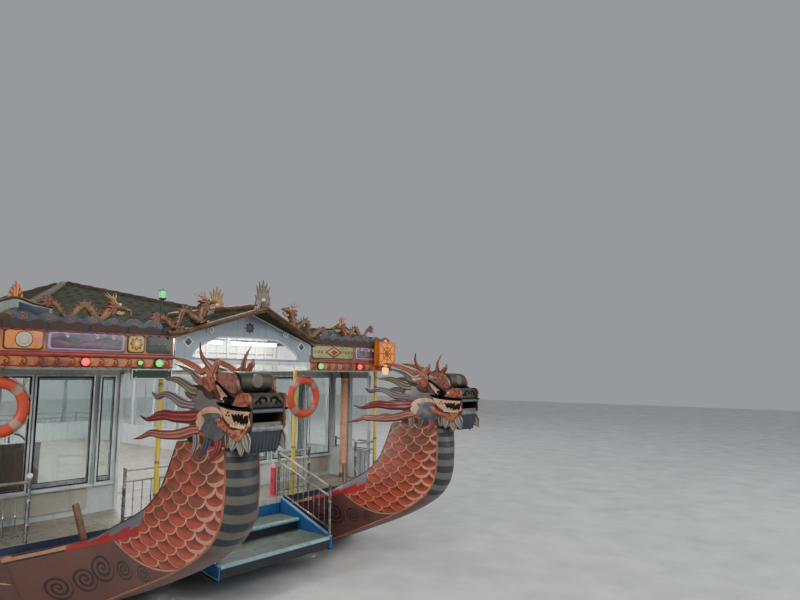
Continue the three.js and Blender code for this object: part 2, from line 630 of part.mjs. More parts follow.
// Porch front: the gable board with its arch, the beam, the cheeks and the two yellow posts.
function porchFrame() {
    const [x0, x1] = [-1645, -1605];
    const under = (y) => PORCH_APEX - PORCH_THICK - 1 - ((PORCH_APEX - PORCH_EAVE) * Math.abs(y)) / PORCH_HALF;
    const gable = outline([[-1280, 2260], [1280, 2260], [1280, under(1280)], [0, under(0)],
        [-1280, under(1280)]]);
    gable.holes.push(outline([[-1010, 2300], [-900, 2450], [-560, 2610], [560, 2610], [900, 2450],
        [1010, 2300]]));
    const beam = box(x0 - 10, x1, -1290, 1290, 2200, 2270);
    const cheeks = [-1, 1].map((s) => box(POST_LINE - 30, x1 - 5, s * 1240, s * PORCH_CHEEK, 2130, 2262));
    const posts = [-1, 1].map((s) => rod([POST_LINE, s * 1270, GAP], [POST_LINE, s * 1270, 2200], 29, 12));
    return join([boardAcross(gable, x0, x1), beam, ...cheeks, ...posts]);
}

function cornerPost() {
    return rod([POST_LINE, 3390, GAP], [POST_LINE, 3390, WALL_TOP], 29, 12);
}

// Ornaments

// Five flame tongues round a pearl, as [y, z] from the middle of the foot.
const FLAME = [
    [-110, 0], [-120, 110], [-150, 230], [-135, 360], [-95, 250], [-85, 330], [-70, 420], [-45, 330],
    [0, 457], [45, 330], [70, 420], [85, 330], [95, 250], [135, 360], [150, 230], [120, 110], [110, 0],
];

function porchFlame() {
    const foot = PORCH_APEX + GAP;
    const points = FLAME.map(([y, z]) => [y, z + foot]);
    const seat = [[-110, foot - 60], [110, foot - 60]];
    const slope = (PORCH_APEX - PORCH_EAVE) / PORCH_HALF;
    const room = outline([[-200, foot - 200 * slope], [0, foot], [200, foot - 200 * slope], [200, foot - 200],
        [-200, foot - 200]]);
    const flame = boardAcross(outline([seat[0], ...points.slice(1, -1), seat[1]]), -1330, -1280);
    return cut(flame, [boardAcross(room, -1500, -1200)]);
}

// A serpent board: a wave with a head and antlers towards its low-y end, as [y, z] above its foot.
function serpent(length, height) {
    const steps = 16;
    const back = [];
    const belly = [];
    for (let i = 0; i <= steps; i += 1) {
        const u = i / steps;
        const y = (u - 0.5) * length;
        const body = 0.5 + 0.32 * Math.cos(u * Math.PI * 4);
        const thick = 0.16 * (1 - 0.6 * u);
        back.push([y, height * (body + thick)]);
        belly.push([y, Math.max(0, height * (body - thick) - 20)]);
    }
    const half = length / 2;
    const face = [[-half - 130, height * 0.6], [-half - 120, height * 0.85], [-half - 20, height * 0.95],
        [-half + 20, height * 1.2]];
    return outline([...belly, ...back.reverse().slice(0, -1), face[3], face[2], face[1], face[0]]);
}

function porchDragon() {
    const slope = Math.atan2(PORCH_APEX - PORCH_EAVE, PORCH_HALF);
    const along = 1080 / Math.cos(slope);
    return boardAcross(serpent(780, 360), -30, 30)
        .rotateX(-slope)
        .translate(-1600, along * Math.cos(slope), PORCH_APEX - along * Math.sin(slope) + GAP + 0.3);
}

function eaveDragon() {
    const x = EAVE_BOW - 150;
    const rise = (3080 - EAVE_TOP) / (2450 - 110);
    return boardAcross(serpent(800, 330), -30, 30).translate(x, 2520, EAVE_TOP + (150 + 30 - 110) * rise + GAP);
}

function numberBoard() {
    return box(FRIEZE_BOW - 30, FRIEZE_BOW, -1900, -1300, FRIEZE_LOW - GAP - 145, FRIEZE_LOW - GAP);
}

function lampBox() {
    const front = EAVE_BOW + 5;
    return join([box(front, front + 130, 2910, 3400, 2230, 2700),
        box(FRIEZE_BOW + GAP, front + 20, 2980, 3330, 2300, 2540),
        rod([front + 65, 3170, 2235], [front + 65, 3170, 2060], 60, 12)]);
}

const BUOY = { ring: 295, section: 70, x: POST_LINE + 29 + 52 };

function lifebuoy(y, z) {
    const points = Array.from({ length: 8 }, (_, i) => {
        const turn = ((i + 0.5) * Math.PI) / 4;
        return new THREE.Vector2(BUOY.ring + BUOY.section * Math.cos(turn), 52 * Math.sin(turn) * 1.08);
    });
    return new THREE.LatheGeometry([...points, points[0].clone()], 32)
        .rotateZ(Math.PI / 2)
        .translate(BUOY.x + GAP, y, z);
}

function bollard() {
    const profile = [[0, 0], [52, 0], [52, 480], [46, 525], [26, 552], [0, 560]];
    return new THREE.LatheGeometry(profile.map(([r, z]) => new THREE.Vector2(r, z)), 16)
        .rotateX(Math.PI / 2)
        .translate(DECK_BOW - 145, STAIR_HALF - 81, GAP);
}

function mast() {
    const x = -4290;
    const pole = rod([x, 0, 3050], [x, 0, 3640], 24, 10);
    const lamp = rod([x, 0, 3440], [x, 0, 3620], 70, 12);
    return cut(join([pole, lamp]), [roofBody().translate(0, 0, GAP)]);
}

// Steering and drive

const HELM = { x: -3900, y: -2500, z: 880, radius: 280 };

function helmConsole() {
    const cabinet = box(HELM.x, HELM.x + 380, HELM.y - 260, HELM.y + 260, GAP, 1050);
    const bearing = rod([HELM.x + 5, HELM.y, HELM.z], [HELM.x - 60, HELM.y, HELM.z], 45, ROUND);
    const bore = rod([HELM.x - 100, HELM.y, HELM.z], [HELM.x + 20, HELM.y, HELM.z], BORE_R / 2, ROUND);
    return cut(join([cabinet, bearing]), [bore]);
}

function helmWheel() {
    const x = HELM.x - 100;
    const section = Array.from({ length: 8 }, (_, i) => new THREE.Vector2(
        HELM.radius + 18 * Math.cos((i * Math.PI) / 4), 18 * Math.sin((i * Math.PI) / 4)));
    const rim = new THREE.LatheGeometry([...section, section[0].clone()], 32)
        .rotateZ(Math.PI / 2).translate(x, HELM.y, HELM.z);
    const hub = rod([x - 25, HELM.y, HELM.z], [x + 34, HELM.y, HELM.z], 45, ROUND);
    const shaft = rod([x, HELM.y, HELM.z], [HELM.x, HELM.y, HELM.z], SHAFT_R / 2, ROUND);
    const spokes = Array.from({ length: 6 }, (_, i) => {
        const turn = (i * Math.PI) / 3;
        return rod([x, HELM.y, HELM.z], [x, HELM.y + 270 * Math.cos(turn), HELM.z + 270 * Math.sin(turn)], 12, 6);
    });
    return join([rim, hub, shaft, ...spokes]);
}

const BLADES = 4;

function propeller() {
    // Columns: distance from the shaft's line, chord, thickness.
    const stations = [[30, 60, 9], [130, 150, 22.5], [PROPELLER_R - 5, 90, 13.5]];
    const middle = -15280;
    const pitch = THREE.MathUtils.degToRad(42);
    const blade = loft(stations.map(([r, chord, thick]) => {
        const at = (u, v) => new THREE.Vector3(
            u * Math.sin(pitch) - v * Math.cos(pitch), u * Math.cos(pitch) + v * Math.sin(pitch), r);
        return [at(-chord / 2, 0), at(0, -thick / 2), at(chord / 2, 0), at(0, thick / 2)];
    }));
    const blades = Array.from({ length: BLADES }, (_, i) => blade.clone()
        .rotateX((i * 2 * Math.PI) / BLADES).translate(middle, STERN_LINE, SHAFT_Z));
    const hub = rod([-15155, STERN_LINE, SHAFT_Z], [-15370, STERN_LINE, SHAFT_Z], 58, ROUND);
    const shaft = rod([-14860, STERN_LINE, SHAFT_Z], [-15200, STERN_LINE, SHAFT_Z], SHAFT_R, ROUND);
    return join([hub, shaft, ...blades]);
}

function rudder() {
    const blade = loft([[-160, 0, 22], [0, 0, 30], [310, 0, 6]].map(([aft, , half]) => [
        new THREE.Vector3(RUDDER_X - aft, STERN_LINE - half, -1330),
        new THREE.Vector3(RUDDER_X - aft, STERN_LINE + half, -1330),
        new THREE.Vector3(RUDDER_X - aft, STERN_LINE + half, -870),
        new THREE.Vector3(RUDDER_X - aft, STERN_LINE - half, -870)]));
    const stock = rod([RUDDER_X, STERN_LINE, -1200], [RUDDER_X, STERN_LINE, 60], SHAFT_R, ROUND);
    const tiller = box(RUDDER_X - 130, RUDDER_X, STERN_LINE - 20, STERN_LINE + 20, 20, 55);
    return join([blade, stock, tiller]);
}

// The assembly

pair('hull', hull(), 'hull');
pair('bow', bow(), 'scale');
pair('head', head(), 'head');
pair('tail', tail(), 'scale');
add('deck', deck(), 'deck');
add('bow_stairs', stairs(), 'stair');
pair('stair_rail', stairRail(), 'steel');
pair('front_rail', frontRail(), 'steel');
pair('corner_rail', cornerRail(), 'steel');
pair('aft_rail', aftRail(), 'steel');
add('front_wall', frontWall(), 'wall');
pair('wall', sideWall(), 'wall');
add('aft_wall', aftWall(), 'wall');
pair('front_glass', frontGlass(), 'glass');
pair('side_glass', sideGlass(), 'glass');
pair('aft_glass', aftGlass(), 'glass');
pair('door', slidingDoor(), 'wall');
add('aft_door', aftDoor(), 'wall');
add('ceiling', ceiling(), 'ceiling');
add('roof', roof(), 'roof');
pair('front_frieze', friezeFront(), 'frieze');
pair('side_frieze', friezeSide(), 'frieze');
add('aft_frieze', friezeAft(), 'frieze');
add('porch_frame', porchFrame(), 'gable');
add('porch_roof', porchRoof(), 'roof');
pair('corner_post', cornerPost(), 'post');
add('porch_flame', porchFlame(), 'ornament');
pair('porch_dragon', porchDragon(), 'ornament');
pair('eave_dragon', eaveDragon(), 'ornament');
add('number_board', numberBoard(), 'board');
add('lamp_box', lampBox(), 'lamp');
add('port_lifebuoy', lifebuoy(1400, 1660), 'buoy');
add('starboard_lifebuoy', lifebuoy(-3390, 1650), 'buoy');
add('stair_bollard', bollard(), 'red');
add('mast', mast(), 'dark');
add('helm_console', helmConsole(), 'wood');
add('helm_wheel', helmWheel(), 'wood');
pair('propeller', propeller(), 'bronze');
pair('rudder', rudder(), 'steel');

const bounds = new THREE.Box3().setFromObject(boat);
const middle = bounds.getCenter(new THREE.Vector3());
boat.position.set(-Math.round(middle.x), -Math.round(middle.y), -bounds.min.z);

export default boat;
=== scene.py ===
"""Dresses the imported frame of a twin-hulled dragon boat: surfaces, finishes, light and camera.

Shapes are written in metres in the deck's frame (x forward, y to port, z up from the deck's top,
x = 0 at the setting-out line of the bows) and moved to the row's frame when a mesh is made.
"""

import math
from collections import namedtuple

import bmesh
import bpy
import numpy as np
from bpy.props import FloatProperty, FloatVectorProperty, PointerProperty
from bpy.types import Operator, Panel, PropertyGroup
from mathutils import Matrix, Vector


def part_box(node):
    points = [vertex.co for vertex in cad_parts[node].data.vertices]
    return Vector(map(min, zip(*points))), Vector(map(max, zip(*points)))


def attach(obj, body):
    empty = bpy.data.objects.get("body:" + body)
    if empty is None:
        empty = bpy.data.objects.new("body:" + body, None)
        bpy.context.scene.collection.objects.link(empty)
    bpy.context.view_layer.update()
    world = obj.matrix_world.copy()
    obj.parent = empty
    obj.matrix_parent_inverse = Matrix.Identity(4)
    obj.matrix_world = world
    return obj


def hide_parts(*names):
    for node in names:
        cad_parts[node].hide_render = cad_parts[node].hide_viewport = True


bl_info = {
    "name": "Dragon boat dresser",
    "version": (1, 0, 0),
    "blender": (4, 5, 0),
    "location": "3D View > Sidebar > Boat",
    "description": "Builds the painted surfaces of a twin-hulled dragon boat around its frame",
    "category": "Object",
}

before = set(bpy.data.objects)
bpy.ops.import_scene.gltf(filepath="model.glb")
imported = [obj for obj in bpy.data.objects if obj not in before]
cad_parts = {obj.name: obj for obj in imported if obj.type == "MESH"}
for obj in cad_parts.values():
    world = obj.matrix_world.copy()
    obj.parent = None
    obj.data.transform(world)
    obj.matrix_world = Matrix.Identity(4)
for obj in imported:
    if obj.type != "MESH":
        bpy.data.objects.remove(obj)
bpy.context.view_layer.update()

# Places that the frame gives

DECK_LOW, DECK_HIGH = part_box("deck")
BEAM_DEPTH = 0.42
DECK_BOW = -1.955
ORIGIN = np.array([DECK_HIGH.x - DECK_BOW, (DECK_LOW.y + DECK_HIGH.y) / 2, DECK_LOW.z + BEAM_DEPTH])
WATERLINE = -0.95
HULL_LINE = 1.9
STERN_LINE = 2.2
BOARD_FACE = 0.23
FRIEZE_FACE = -1.619
TURN = 2 * math.pi
FACE_FRONT = Matrix.Rotation(math.pi / 2, 3, "Z")
FACE_AFT = Matrix.Rotation(-math.pi / 2, 3, "Z")
FLIP = Matrix.Rotation(math.pi, 3, "X")


def rgb(red, green, blue):
    """A colour from 0 to 255, made linear."""
    return tuple(((c / 255 + 0.055) / 1.055) ** 2.4 for c in (red, green, blue)) + (1.0,)


# Surfaces

Patch = namedtuple("Patch", "points faces uv paint")


def spline(rows, count, closed=False):
    """Catmull-Rom: each stretch is the cubic whose slope at a row is half the step between its neighbours."""
    p = np.asarray(rows, float)
    last = len(p) if closed else len(p) - 1
    if closed:
        p = np.vstack([p[-1:], p, p[:2]])
    else:
        p = np.vstack([2 * p[:1] - p[1:2], p, 2 * p[-1:] - p[-2:-1]])
    t = np.linspace(0, last, count, endpoint=not closed)
    i = np.minimum(t.astype(int), last - 1)
    f = (t - i)[:, None]
    a, b, c, d = p[i], p[i + 1], p[i + 2], p[i + 3]
    return 0.5 * (2 * b + (c - a) * f + (2 * a - 5 * b + 4 * c - d) * f**2 + (3 * b - a - 3 * c + d) * f**3)


def circle(sides, across=1.0, up=1.0):
    """Points at equal turns on an ellipse."""
    turn = np.arange(sides) / sides * TURN
    return np.stack([across * np.cos(turn), up * np.sin(turn)], -1)


def corners(low, high, grow=0.0):
    """A rectangle between two corners of a flat outline, grown outwards."""
    (a, b), (c, d) = np.asarray(low) - grow, np.asarray(high) + grow
    return np.array([(a, b), (c, b), (c, d), (a, d)])


def sheet(points, paint=0, wrap=False, caps=False, loop=False, flow=None):
    """A grid of points as quads: wrap joins its last column to its first, loop its last row to its
    first, and caps close the end rows with a fan of triangles to their middle. Its own coordinates
    are the shares across and along, or those that flow gives for each point."""
    rows, cols = points.shape[:2]
    r, c = np.mgrid[0:rows if loop else rows - 1, 0:cols if wrap else cols - 1]
    s, n = (r + 1) % rows, (c + 1) % cols
    faces = np.stack([r * cols + c, r * cols + n, s * cols + n, s * cols + c], -1).reshape(-1, 4)
    u = np.stack([c, c + 1, c + 1, c], -1) / (cols if wrap else cols - 1)
    v = np.stack([r, r, r + 1, r + 1], -1) / (rows if loop else rows - 1)
    uv = np.stack([u, v], -1).reshape(-1, 2) if flow is None else flow.reshape(-1, 2)[faces.ravel()]
    patches = [Patch(points.reshape(-1, 3), faces, uv, paint)]
    if caps:
        patches += [fan(points[0], paint), fan(points[-1], paint)]
    return patches


def fan(ring, paint=0):
    """Triangles from each side of a ring to the mean of its points."""
    n = np.arange(len(ring))
    faces = np.stack([n, (n + 1) % len(ring), np.full(len(ring), len(ring))], -1)
    return Patch(np.vstack([ring, ring.mean(0)]), faces, np.full((3 * len(ring), 2), 0.5), paint)


def face(ring, paint=0):
    """One many-sided face round a ring, which may be hollowed."""
    return Patch(np.asarray(ring, float), np.arange(len(ring))[None], np.full((len(ring), 2), 0.5), paint)


def stand(flat, axis, level):
    """Puts a flat outline in space, at a level along the axis that it faces."""
    flat = np.asarray(flat, float)
    order = {"x": (2, 0, 1), "y": (0, 2, 1), "z": (0, 1, 2)}[axis]
    points = np.column_stack([flat, np.full(len(flat), level)])
    return points[:, order]


def prism(outline, axis, low, high, paint=0):
    """A board: its outline at two levels, joined by a wall and closed by two flat faces."""
    rings = np.stack([stand(outline, axis, low), stand(outline, axis, high)])
    return sheet(rings, paint, wrap=True) + [face(rings[0], paint), face(rings[1], paint)]


def frame_board(outer, inner, axis, low, high, paint=0):
    """A board with a hole: a ring of four walls through two outlines of equally many points."""
    rings = [stand(outer, axis, low), stand(outer, axis, high), stand(inner, axis, high),
             stand(inner, axis, low)]
    return sheet(np.stack(rings), paint, wrap=True, loop=True)


def block(low, high, paint=0):
    """A box between two corners."""
    return prism(corners(low[:2], high[:2]), "z", low[2], high[2], paint)


def sweep(path, profile, scale=1.0, up=(0, 0, 1), paint=0, caps=True, loop=False):
    """Carries a closed profile (across, up) along a path. Across is the path's direction crossed
    with up, and scale is one number, one per step, or a pair of numbers per step."""
    path = np.asarray(path, float)
    ahead = np.gradient(path, axis=0)
    if loop:
        ahead = np.roll(path, -1, 0) - np.roll(path, 1, 0)
    ahead /= np.linalg.norm(ahead, axis=1)[:, None]
    side = np.cross(ahead, np.broadcast_to(np.asarray(up, float), path.shape))
    side /= np.maximum(np.linalg.norm(side, axis=1), 1e-9)[:, None]
    rise = np.cross(side, ahead)
    size = np.asarray(scale, float)
    size = size if size.ndim == 2 else np.repeat(np.broadcast_to(size, len(path))[:, None], 2, 1)
    across = profile[:, :1] * size[:, None, :1] * side[:, None]
    above = profile[:, 1:] * size[:, None, 1:] * rise[:, None]
    return sheet(path[:, None] + across + above, paint, wrap=True, caps=caps and not loop, loop=loop)


def tube(path, radius, sides=8, paint=0, up=(0, 0, 1), loop=False):
    """A round bar along a path, its radius one number or one per step."""
    return sweep(path, circle(sides), radius, up, paint, loop=loop)


def bar(start, end, radius, sides=8, paint=0):
    """A straight round bar between two points."""
    start, end = np.asarray(start, float), np.asarray(end, float)
    upright = abs((end - start)[2]) > 0.9 * np.linalg.norm(end - start)
    return tube(np.stack([start, end]), radius, sides, paint, (1, 0, 0) if upright else (0, 0, 1))


def hoop(centre, radius, thick, sides, paint=0, steps=64):
    """A round bar bent to a ring about x."""
    path = np.asarray(centre, float) + stand(circle(steps, radius, radius), "x", 0.0)
    return tube(path, thick, sides, paint, (1, 0, 0), loop=True)


def lathe(profile, axis="z", sides=16, paint=0, centre=(0, 0, 0)):
    """Turns a profile of (radius, height) rows about an axis through the centre."""
    profile = np.asarray(profile, float)
    ring = circle(sides)
    flat = profile[:, None, :1] * ring[None]
    points = np.concatenate([flat, np.broadcast_to(profile[:, None, 1:], flat.shape[:2] + (1,))], -1)
    order = {"x": (2, 0, 1), "y": (1, 2, 0), "z": (0, 1, 2)}[axis]
    return sheet(points[..., order] + np.asarray(centre, float), paint, wrap=True, caps=True)


def turned(centre, axis, *parts):
    """Pieces turned about one axis, each given by its sides, its finish and its profile."""
    return [p for sides, paint, rows in parts for p in lathe(rows, axis, sides, paint, centre)]


def lock(rows, paint=0, thick=0.035, level=0.0, steps=8, sides=20):
    """A tapered lock of mane or leaf: a flat tube through (x, z, half width) rows at one y, with a
    carved groove along the middle of each face, as thick as its width at the tip and no thicker than
    `thick` elsewhere."""
    line = spline(rows, steps * (len(rows) - 1) + 1)
    half = np.maximum(line[:, 2], 0.002)
    path = np.column_stack([line[:, 0], np.full(len(line), level), line[:, 1]])
    size = np.column_stack([half, np.minimum(half, thick)])
    profile = circle(sides)
    profile[:, 1] *= 1 - 0.45 * np.exp(-(profile[:, 0] / 0.2) ** 2)
    return sweep(path, profile, size, (0, 1, 0), paint)


def plate(outline, paint, low, rise, samples=5, edge=0.008):
    """A relief plate on a board that faces y: its outline, smoothed where samples is over 1, rises to
    a rounded edge, whose rings step inwards along the bisector of each corner, and a flat top."""
    ring = spline(outline, samples * len(outline), closed=True) if samples > 1 else np.asarray(outline, float)
    ahead = np.roll(ring, -1, 0) - np.roll(ring, 1, 0)
    length = np.maximum(np.linalg.norm(ahead, axis=1), 1e-9)
    inward = np.stack([-ahead[:, 1], ahead[:, 0]], -1) / length[:, None]
    area = np.sum(ring[:, 0] * np.roll(ring[:, 1], -1) - np.roll(ring[:, 0], -1) * ring[:, 1])
    inward *= 1 if area > 0 else -1
    steps = [(0, 0), (0, 0.55), (0.3, 0.85), (1.0, 1.0)]
    rings = np.stack([
        stand(ring + inward * edge * inset, "y", low + rise * height) for inset, height in steps])
    return sheet(rings, paint, wrap=True) + [face(rings[0], paint), face(rings[-1], paint)]


def moved(patches, offset=(0, 0, 0), mirror=False, turn=None):
    """The same patches turned, then mirrored across y = 0, then shifted."""
    flip = np.array([1, -1 if mirror else 1, 1])
    matrix = np.eye(3) if turn is None else np.array(turn)[:3, :3]
    return [p._replace(points=(p.points @ matrix.T) * flip + np.asarray(offset, float)) for p in patches]


def both(patches):
    """Patches and their mirror images across y = 0."""
    return patches + moved(patches, mirror=True)


def build(name, paints, patches, slot, *hides, body="boat", crease=38, bevel=0.0):
    """Puts patches into one mesh at the deck's place, merges seams, turns faces outwards, sets its
    finishes, named in one string, and says what it rides on and stands for; the slot is not used."""
    starts = np.cumsum([0] + [len(p.points) for p in patches])
    mesh = bpy.data.meshes.new(name)
    faces = [row for p, start in zip(patches, starts) for row in (p.faces + start).tolist()]
    mesh.from_pydata(np.concatenate([p.points for p in patches]) + ORIGIN, [], faces)
    uv = mesh.uv_layers.new(name="flow")
    uv.data.foreach_set("uv", np.concatenate([p.uv for p in patches]).astype(np.float32).ravel())
    index = np.concatenate([np.full(len(p.faces), p.paint) for p in patches])
    mesh.polygons.foreach_set("material_index", index.astype(np.int32))
    for key in paints.split():
        mesh.materials.append(PAINTS[key])
    whole = bmesh.new()
    whole.from_mesh(mesh)
    bmesh.ops.remove_doubles(whole, verts=whole.verts, dist=2e-5)
    bmesh.ops.dissolve_degenerate(whole, edges=whole.edges, dist=1e-6)
    bmesh.ops.recalc_face_normals(whole, faces=whole.faces)
    whole.to_mesh(mesh)
    whole.free()
    mesh.shade_smooth()
    mesh.set_sharp_from_angle(angle=math.radians(crease))
    piece = bpy.data.objects.new(name, mesh)
    bpy.context.scene.collection.objects.link(piece)
    if bevel:
        rounder = piece.modifiers.new("Rounded edges", "BEVEL")
        rounder.width = bevel
        rounder.segments = 2
        rounder.limit_method = "ANGLE"
        rounder.angle_limit = math.radians(40)
    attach(piece, body)
    if hides:
        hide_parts(*hides)


def build_pair(name, paints, patches, slot, *hides, body="boat", drawn="port", **more):
    """Builds a piece on the side that it is drawn for and mirrored on the other. Braces in the names
    stand for the side."""
    for side in ("port", "starboard")[::1 if drawn == "port" else -1]:
        build(name.format(side), paints, moved(patches, mirror=side != drawn), slot,
              *(node.format(side) for node in hides), body=body.format(side), **more)


# Finishes

SCALE_DEPTH = 0.75
PAINTS = {}


class Value:
    """A number that changes over a surface. Sums and products of values add nodes."""

    def __init__(self, nodes, socket):
        self.nodes, self.socket = nodes, socket

    def __add__(self, other):
        return self.nodes.math("ADD", self, other)

    def __sub__(self, other):
        return self.nodes.math("SUBTRACT", self, other)

    def __rsub__(self, other):
        return self.nodes.math("SUBTRACT", other, self)

    def __mul__(self, other):
        return self.nodes.math("MULTIPLY", self, other)

    def __truediv__(self, other):
        return self.nodes.math("DIVIDE", self, other)


class Nodes:
    """Short calls that add linked nodes to a material's tree or to a group's."""

    def __init__(self, tree):
        self.tree = tree

    def put(self, socket, value):
        """Links or sets a socket. Three whole numbers are a colour from 0 to 255."""
        value = getattr(value, "socket", value)
        if isinstance(value, bpy.types.NodeSocket):
            self.tree.links.new(value, socket)
        elif value is not None:
            socket.default_value = rgb(*value) if socket.type == "RGBA" and len(value) == 3 else value

    def add(self, kind, *values, **settings):
        node = self.tree.nodes.new("ShaderNode" + kind)
        for key, value in settings.items():
            setattr(node, key, value)
        for socket, value in zip(node.inputs, values):
            self.put(socket, value)
        return node

    def named(self, kind, **values):
        """Adds a node and fills the inputs of the given names."""
        node = self.add(kind)
        for key, value in values.items():
            self.put(node.inputs[key], value)
        return Value(self, node.outputs[0])

    def math(self, operation, *values):
        return Value(self, self.add("Math", *values, operation=operation).outputs[0])

    def vector(self, operation, *values):
        return self.add("VectorMath", *values, operation=operation).outputs[0]

    def mix(self, share, first, second):
        node = self.add("Mix", data_type="RGBA")
        for socket, value in ((0, share), (6, first), (7, second)):
            self.put(node.inputs[socket], value)
        return node.outputs[2]

    def noise(self, vector, scale, detail=3.0, rough=0.5, warp=0.0):
        return self.named("TexNoise", Vector=vector, Scale=scale, Detail=detail, Roughness=rough,
                          Distortion=warp)

    def random(self, *place):
        """A number between 0 and 1 for each place."""
        node = self.add("TexWhiteNoise", self.add("CombineXYZ", *place).outputs[0])
        return Value(self, node.outputs["Value"])

    def ease(self, value, start, end, low=0.0, high=1.0):
        """A smooth step of a value between two edges."""
        node = self.add("MapRange", value, start, end, low, high, interpolation_type="SMOOTHSTEP")
        return Value(self, node.outputs[0])

    def split(self, vector):
        return [Value(self, part) for part in self.add("SeparateXYZ", vector).outputs]

    def group(self, name, **values):
        node = self.tree.nodes.new("ShaderNodeGroup")
        node.node_tree = bpy.data.node_groups[name]
        for key, value in values.items():
            self.put(node.inputs[key], value)
        return node.outputs


def new_group(name, inputs, outputs):
    """A node group with named sockets: its node calls, its inputs as values and its output sockets."""
    tree = bpy.data.node_groups.new(name, "ShaderNodeTree")
    for way, sockets in (("INPUT", inputs), ("OUTPUT", outputs)):
        for label, kind in sockets.items():
            tree.interface.new_socket(name=label, in_out=way, socket_type="NodeSocket" + kind)
    nodes = Nodes(tree)
    given = {socket.name: Value(nodes, socket) for socket in tree.nodes.new("NodeGroupInput").outputs}
    return nodes, given, tree.nodes.new("NodeGroupOutput").inputs


def weathering():
    """Paint aged outdoors: broad and fine changes of tone, runs of dirt down the surface, a changing
    gloss and a height for brush marks and dust."""
    n, given, out = new_group(
        "Weathering", {"Vector": "Vector", "Colour": "Color", "Wear": "Float", "Roughness": "Float"},
        {"Colour": "Color", "Roughness": "Float", "Height": "Float"})
    place, wear = given["Vector"], given["Wear"]
    broad = n.noise(place, 1.7, 4.0)
    fine = n.noise(place, 34.0, 4.0, 0.6)
    grain = n.noise(place, 190.0, 2.0)
    runs = n.noise(n.vector("MULTIPLY", place, (7.0, 7.0, 0.7)), 1.6, 5.0, 0.6, 0.4)
    tone = (fine - 0.5) * 0.45 + ((broad - 0.5) * 0.7 + 1.0)
    shaded = n.vector("SCALE", given["Colour"], None, None, tone)
    dirt = n.ease(runs + fine * 0.25, 0.6, 0.86) * wear
    specks = n.ease(fine, 0.66, 0.74) * (wear * 0.5)
    dirty = n.mix(dirt * 0.75, shaded, (0.075, 0.06, 0.048, 1))
    n.put(out["Colour"], n.mix(specks, dirty, (0.2, 0.17, 0.14, 1)))
    n.put(out["Roughness"], dirt * 0.25 + ((fine - 0.5) * 0.35 + given["Roughness"]))
    n.put(out["Height"], fine * 0.7 + grain * 0.25)


def fish_scales():
    """Overlapping scales, round side down, by the same rule as their relief. Column and row count in
    scales. Gives how far a point lies out of its scale's middle, how high above the scale's foot, and
    how far into the pale crescent round the foot."""
    n, given, out = new_group("Fish scales", {"Column": "Float", "Row": "Float", "Crescent": "Float"},
                              {"Reach": "Float", "Rise": "Float", "Crescent": "Float"})
    index = n.math("FLOOR", given["Row"])
    height = given["Row"] - index
    shift = n.math("PINGPONG", index, 1.0) * -0.5 + 0.5

    def across(more):
        return (n.math("FRACT", given["Column"] + (shift + more)) - 0.5) * 2.0

    def reach(distance, above, depth):
        under = n.math("MINIMUM", above - depth, 0.0) / SCALE_DEPTH
        return n.math("SQRT", distance * distance + under * under)

    own, other = across(0.5), across(0.0)
    behind = n.math("GREATER_THAN", reach(own, height, SCALE_DEPTH), 1.0)
    distance = behind * (other - own) + own
    rise = height + behind
    n.put(out["Reach"], reach(distance, rise, SCALE_DEPTH))
    n.put(out["Rise"], rise)
    n.put(out["Crescent"], reach(distance, rise, given["Crescent"] + SCALE_DEPTH))


def new_material(name):
    """An empty material: itself, its node calls, its shader and the place in the deck's frame."""
    material = bpy.data.materials.new(name)
    material.use_nodes = True
    n = Nodes(material.node_tree)
    here = n.vector("SUBTRACT", n.add("TexCoord").outputs["Object"], tuple(ORIGIN))
    return material, n, n.tree.nodes["Principled BSDF"].inputs, here


def finish(name, colour=None, rough=0.45, wear=0.5, metal=0.0, coat=0.0, bump=0.3, depth=0.003, pattern=None,
           glow=None, shine=0.5):
    """A material: a pattern of the object's coordinates gives its colour and height, and the shared
    weathering ages both. Plain numbers go straight to the shader's sockets."""
    material, n, shader, here = new_material(name)
    height = None
    if pattern:
        colour, height = pattern(n, here)
    aged = n.group("Weathering", Vector=here, Colour=colour, Wear=wear, Roughness=rough)
    normal = n.named("Bump", Strength=bump, Distance=0.0012, Height=aged["Height"])
    if height is not None:
        normal = n.named("Bump", Strength=1.0, Distance=depth, Height=height, Normal=normal)
    values = {"Base Color": aged["Colour"], "Roughness": aged["Roughness"], "Metallic": metal,
              "Coat Weight": coat, "Coat Roughness": 0.25, "Specular IOR Level": shine, "Normal": normal}
    if glow:
        values.update({"Emission Color": colour, "Emission Strength": glow})
    for key, value in values.items():
        n.put(shader[key], value)
    return material


def flow_of(n):
    """A piece's own coordinates: across, then along."""
    return n.split(n.add("UVMap", uv_map="flow").outputs[0])
# Necks

SCALE_WIDTH = 0.30
SCALE_MIDDLE = 0.125
SCALE_ROWS = (10.665, -1.247, -9.065, 0.837, 0.94, 0.171)
# Bands along the whole throat, and how many of them are painted.
BANDS = 31.8
BAND_COUNT = 13.9

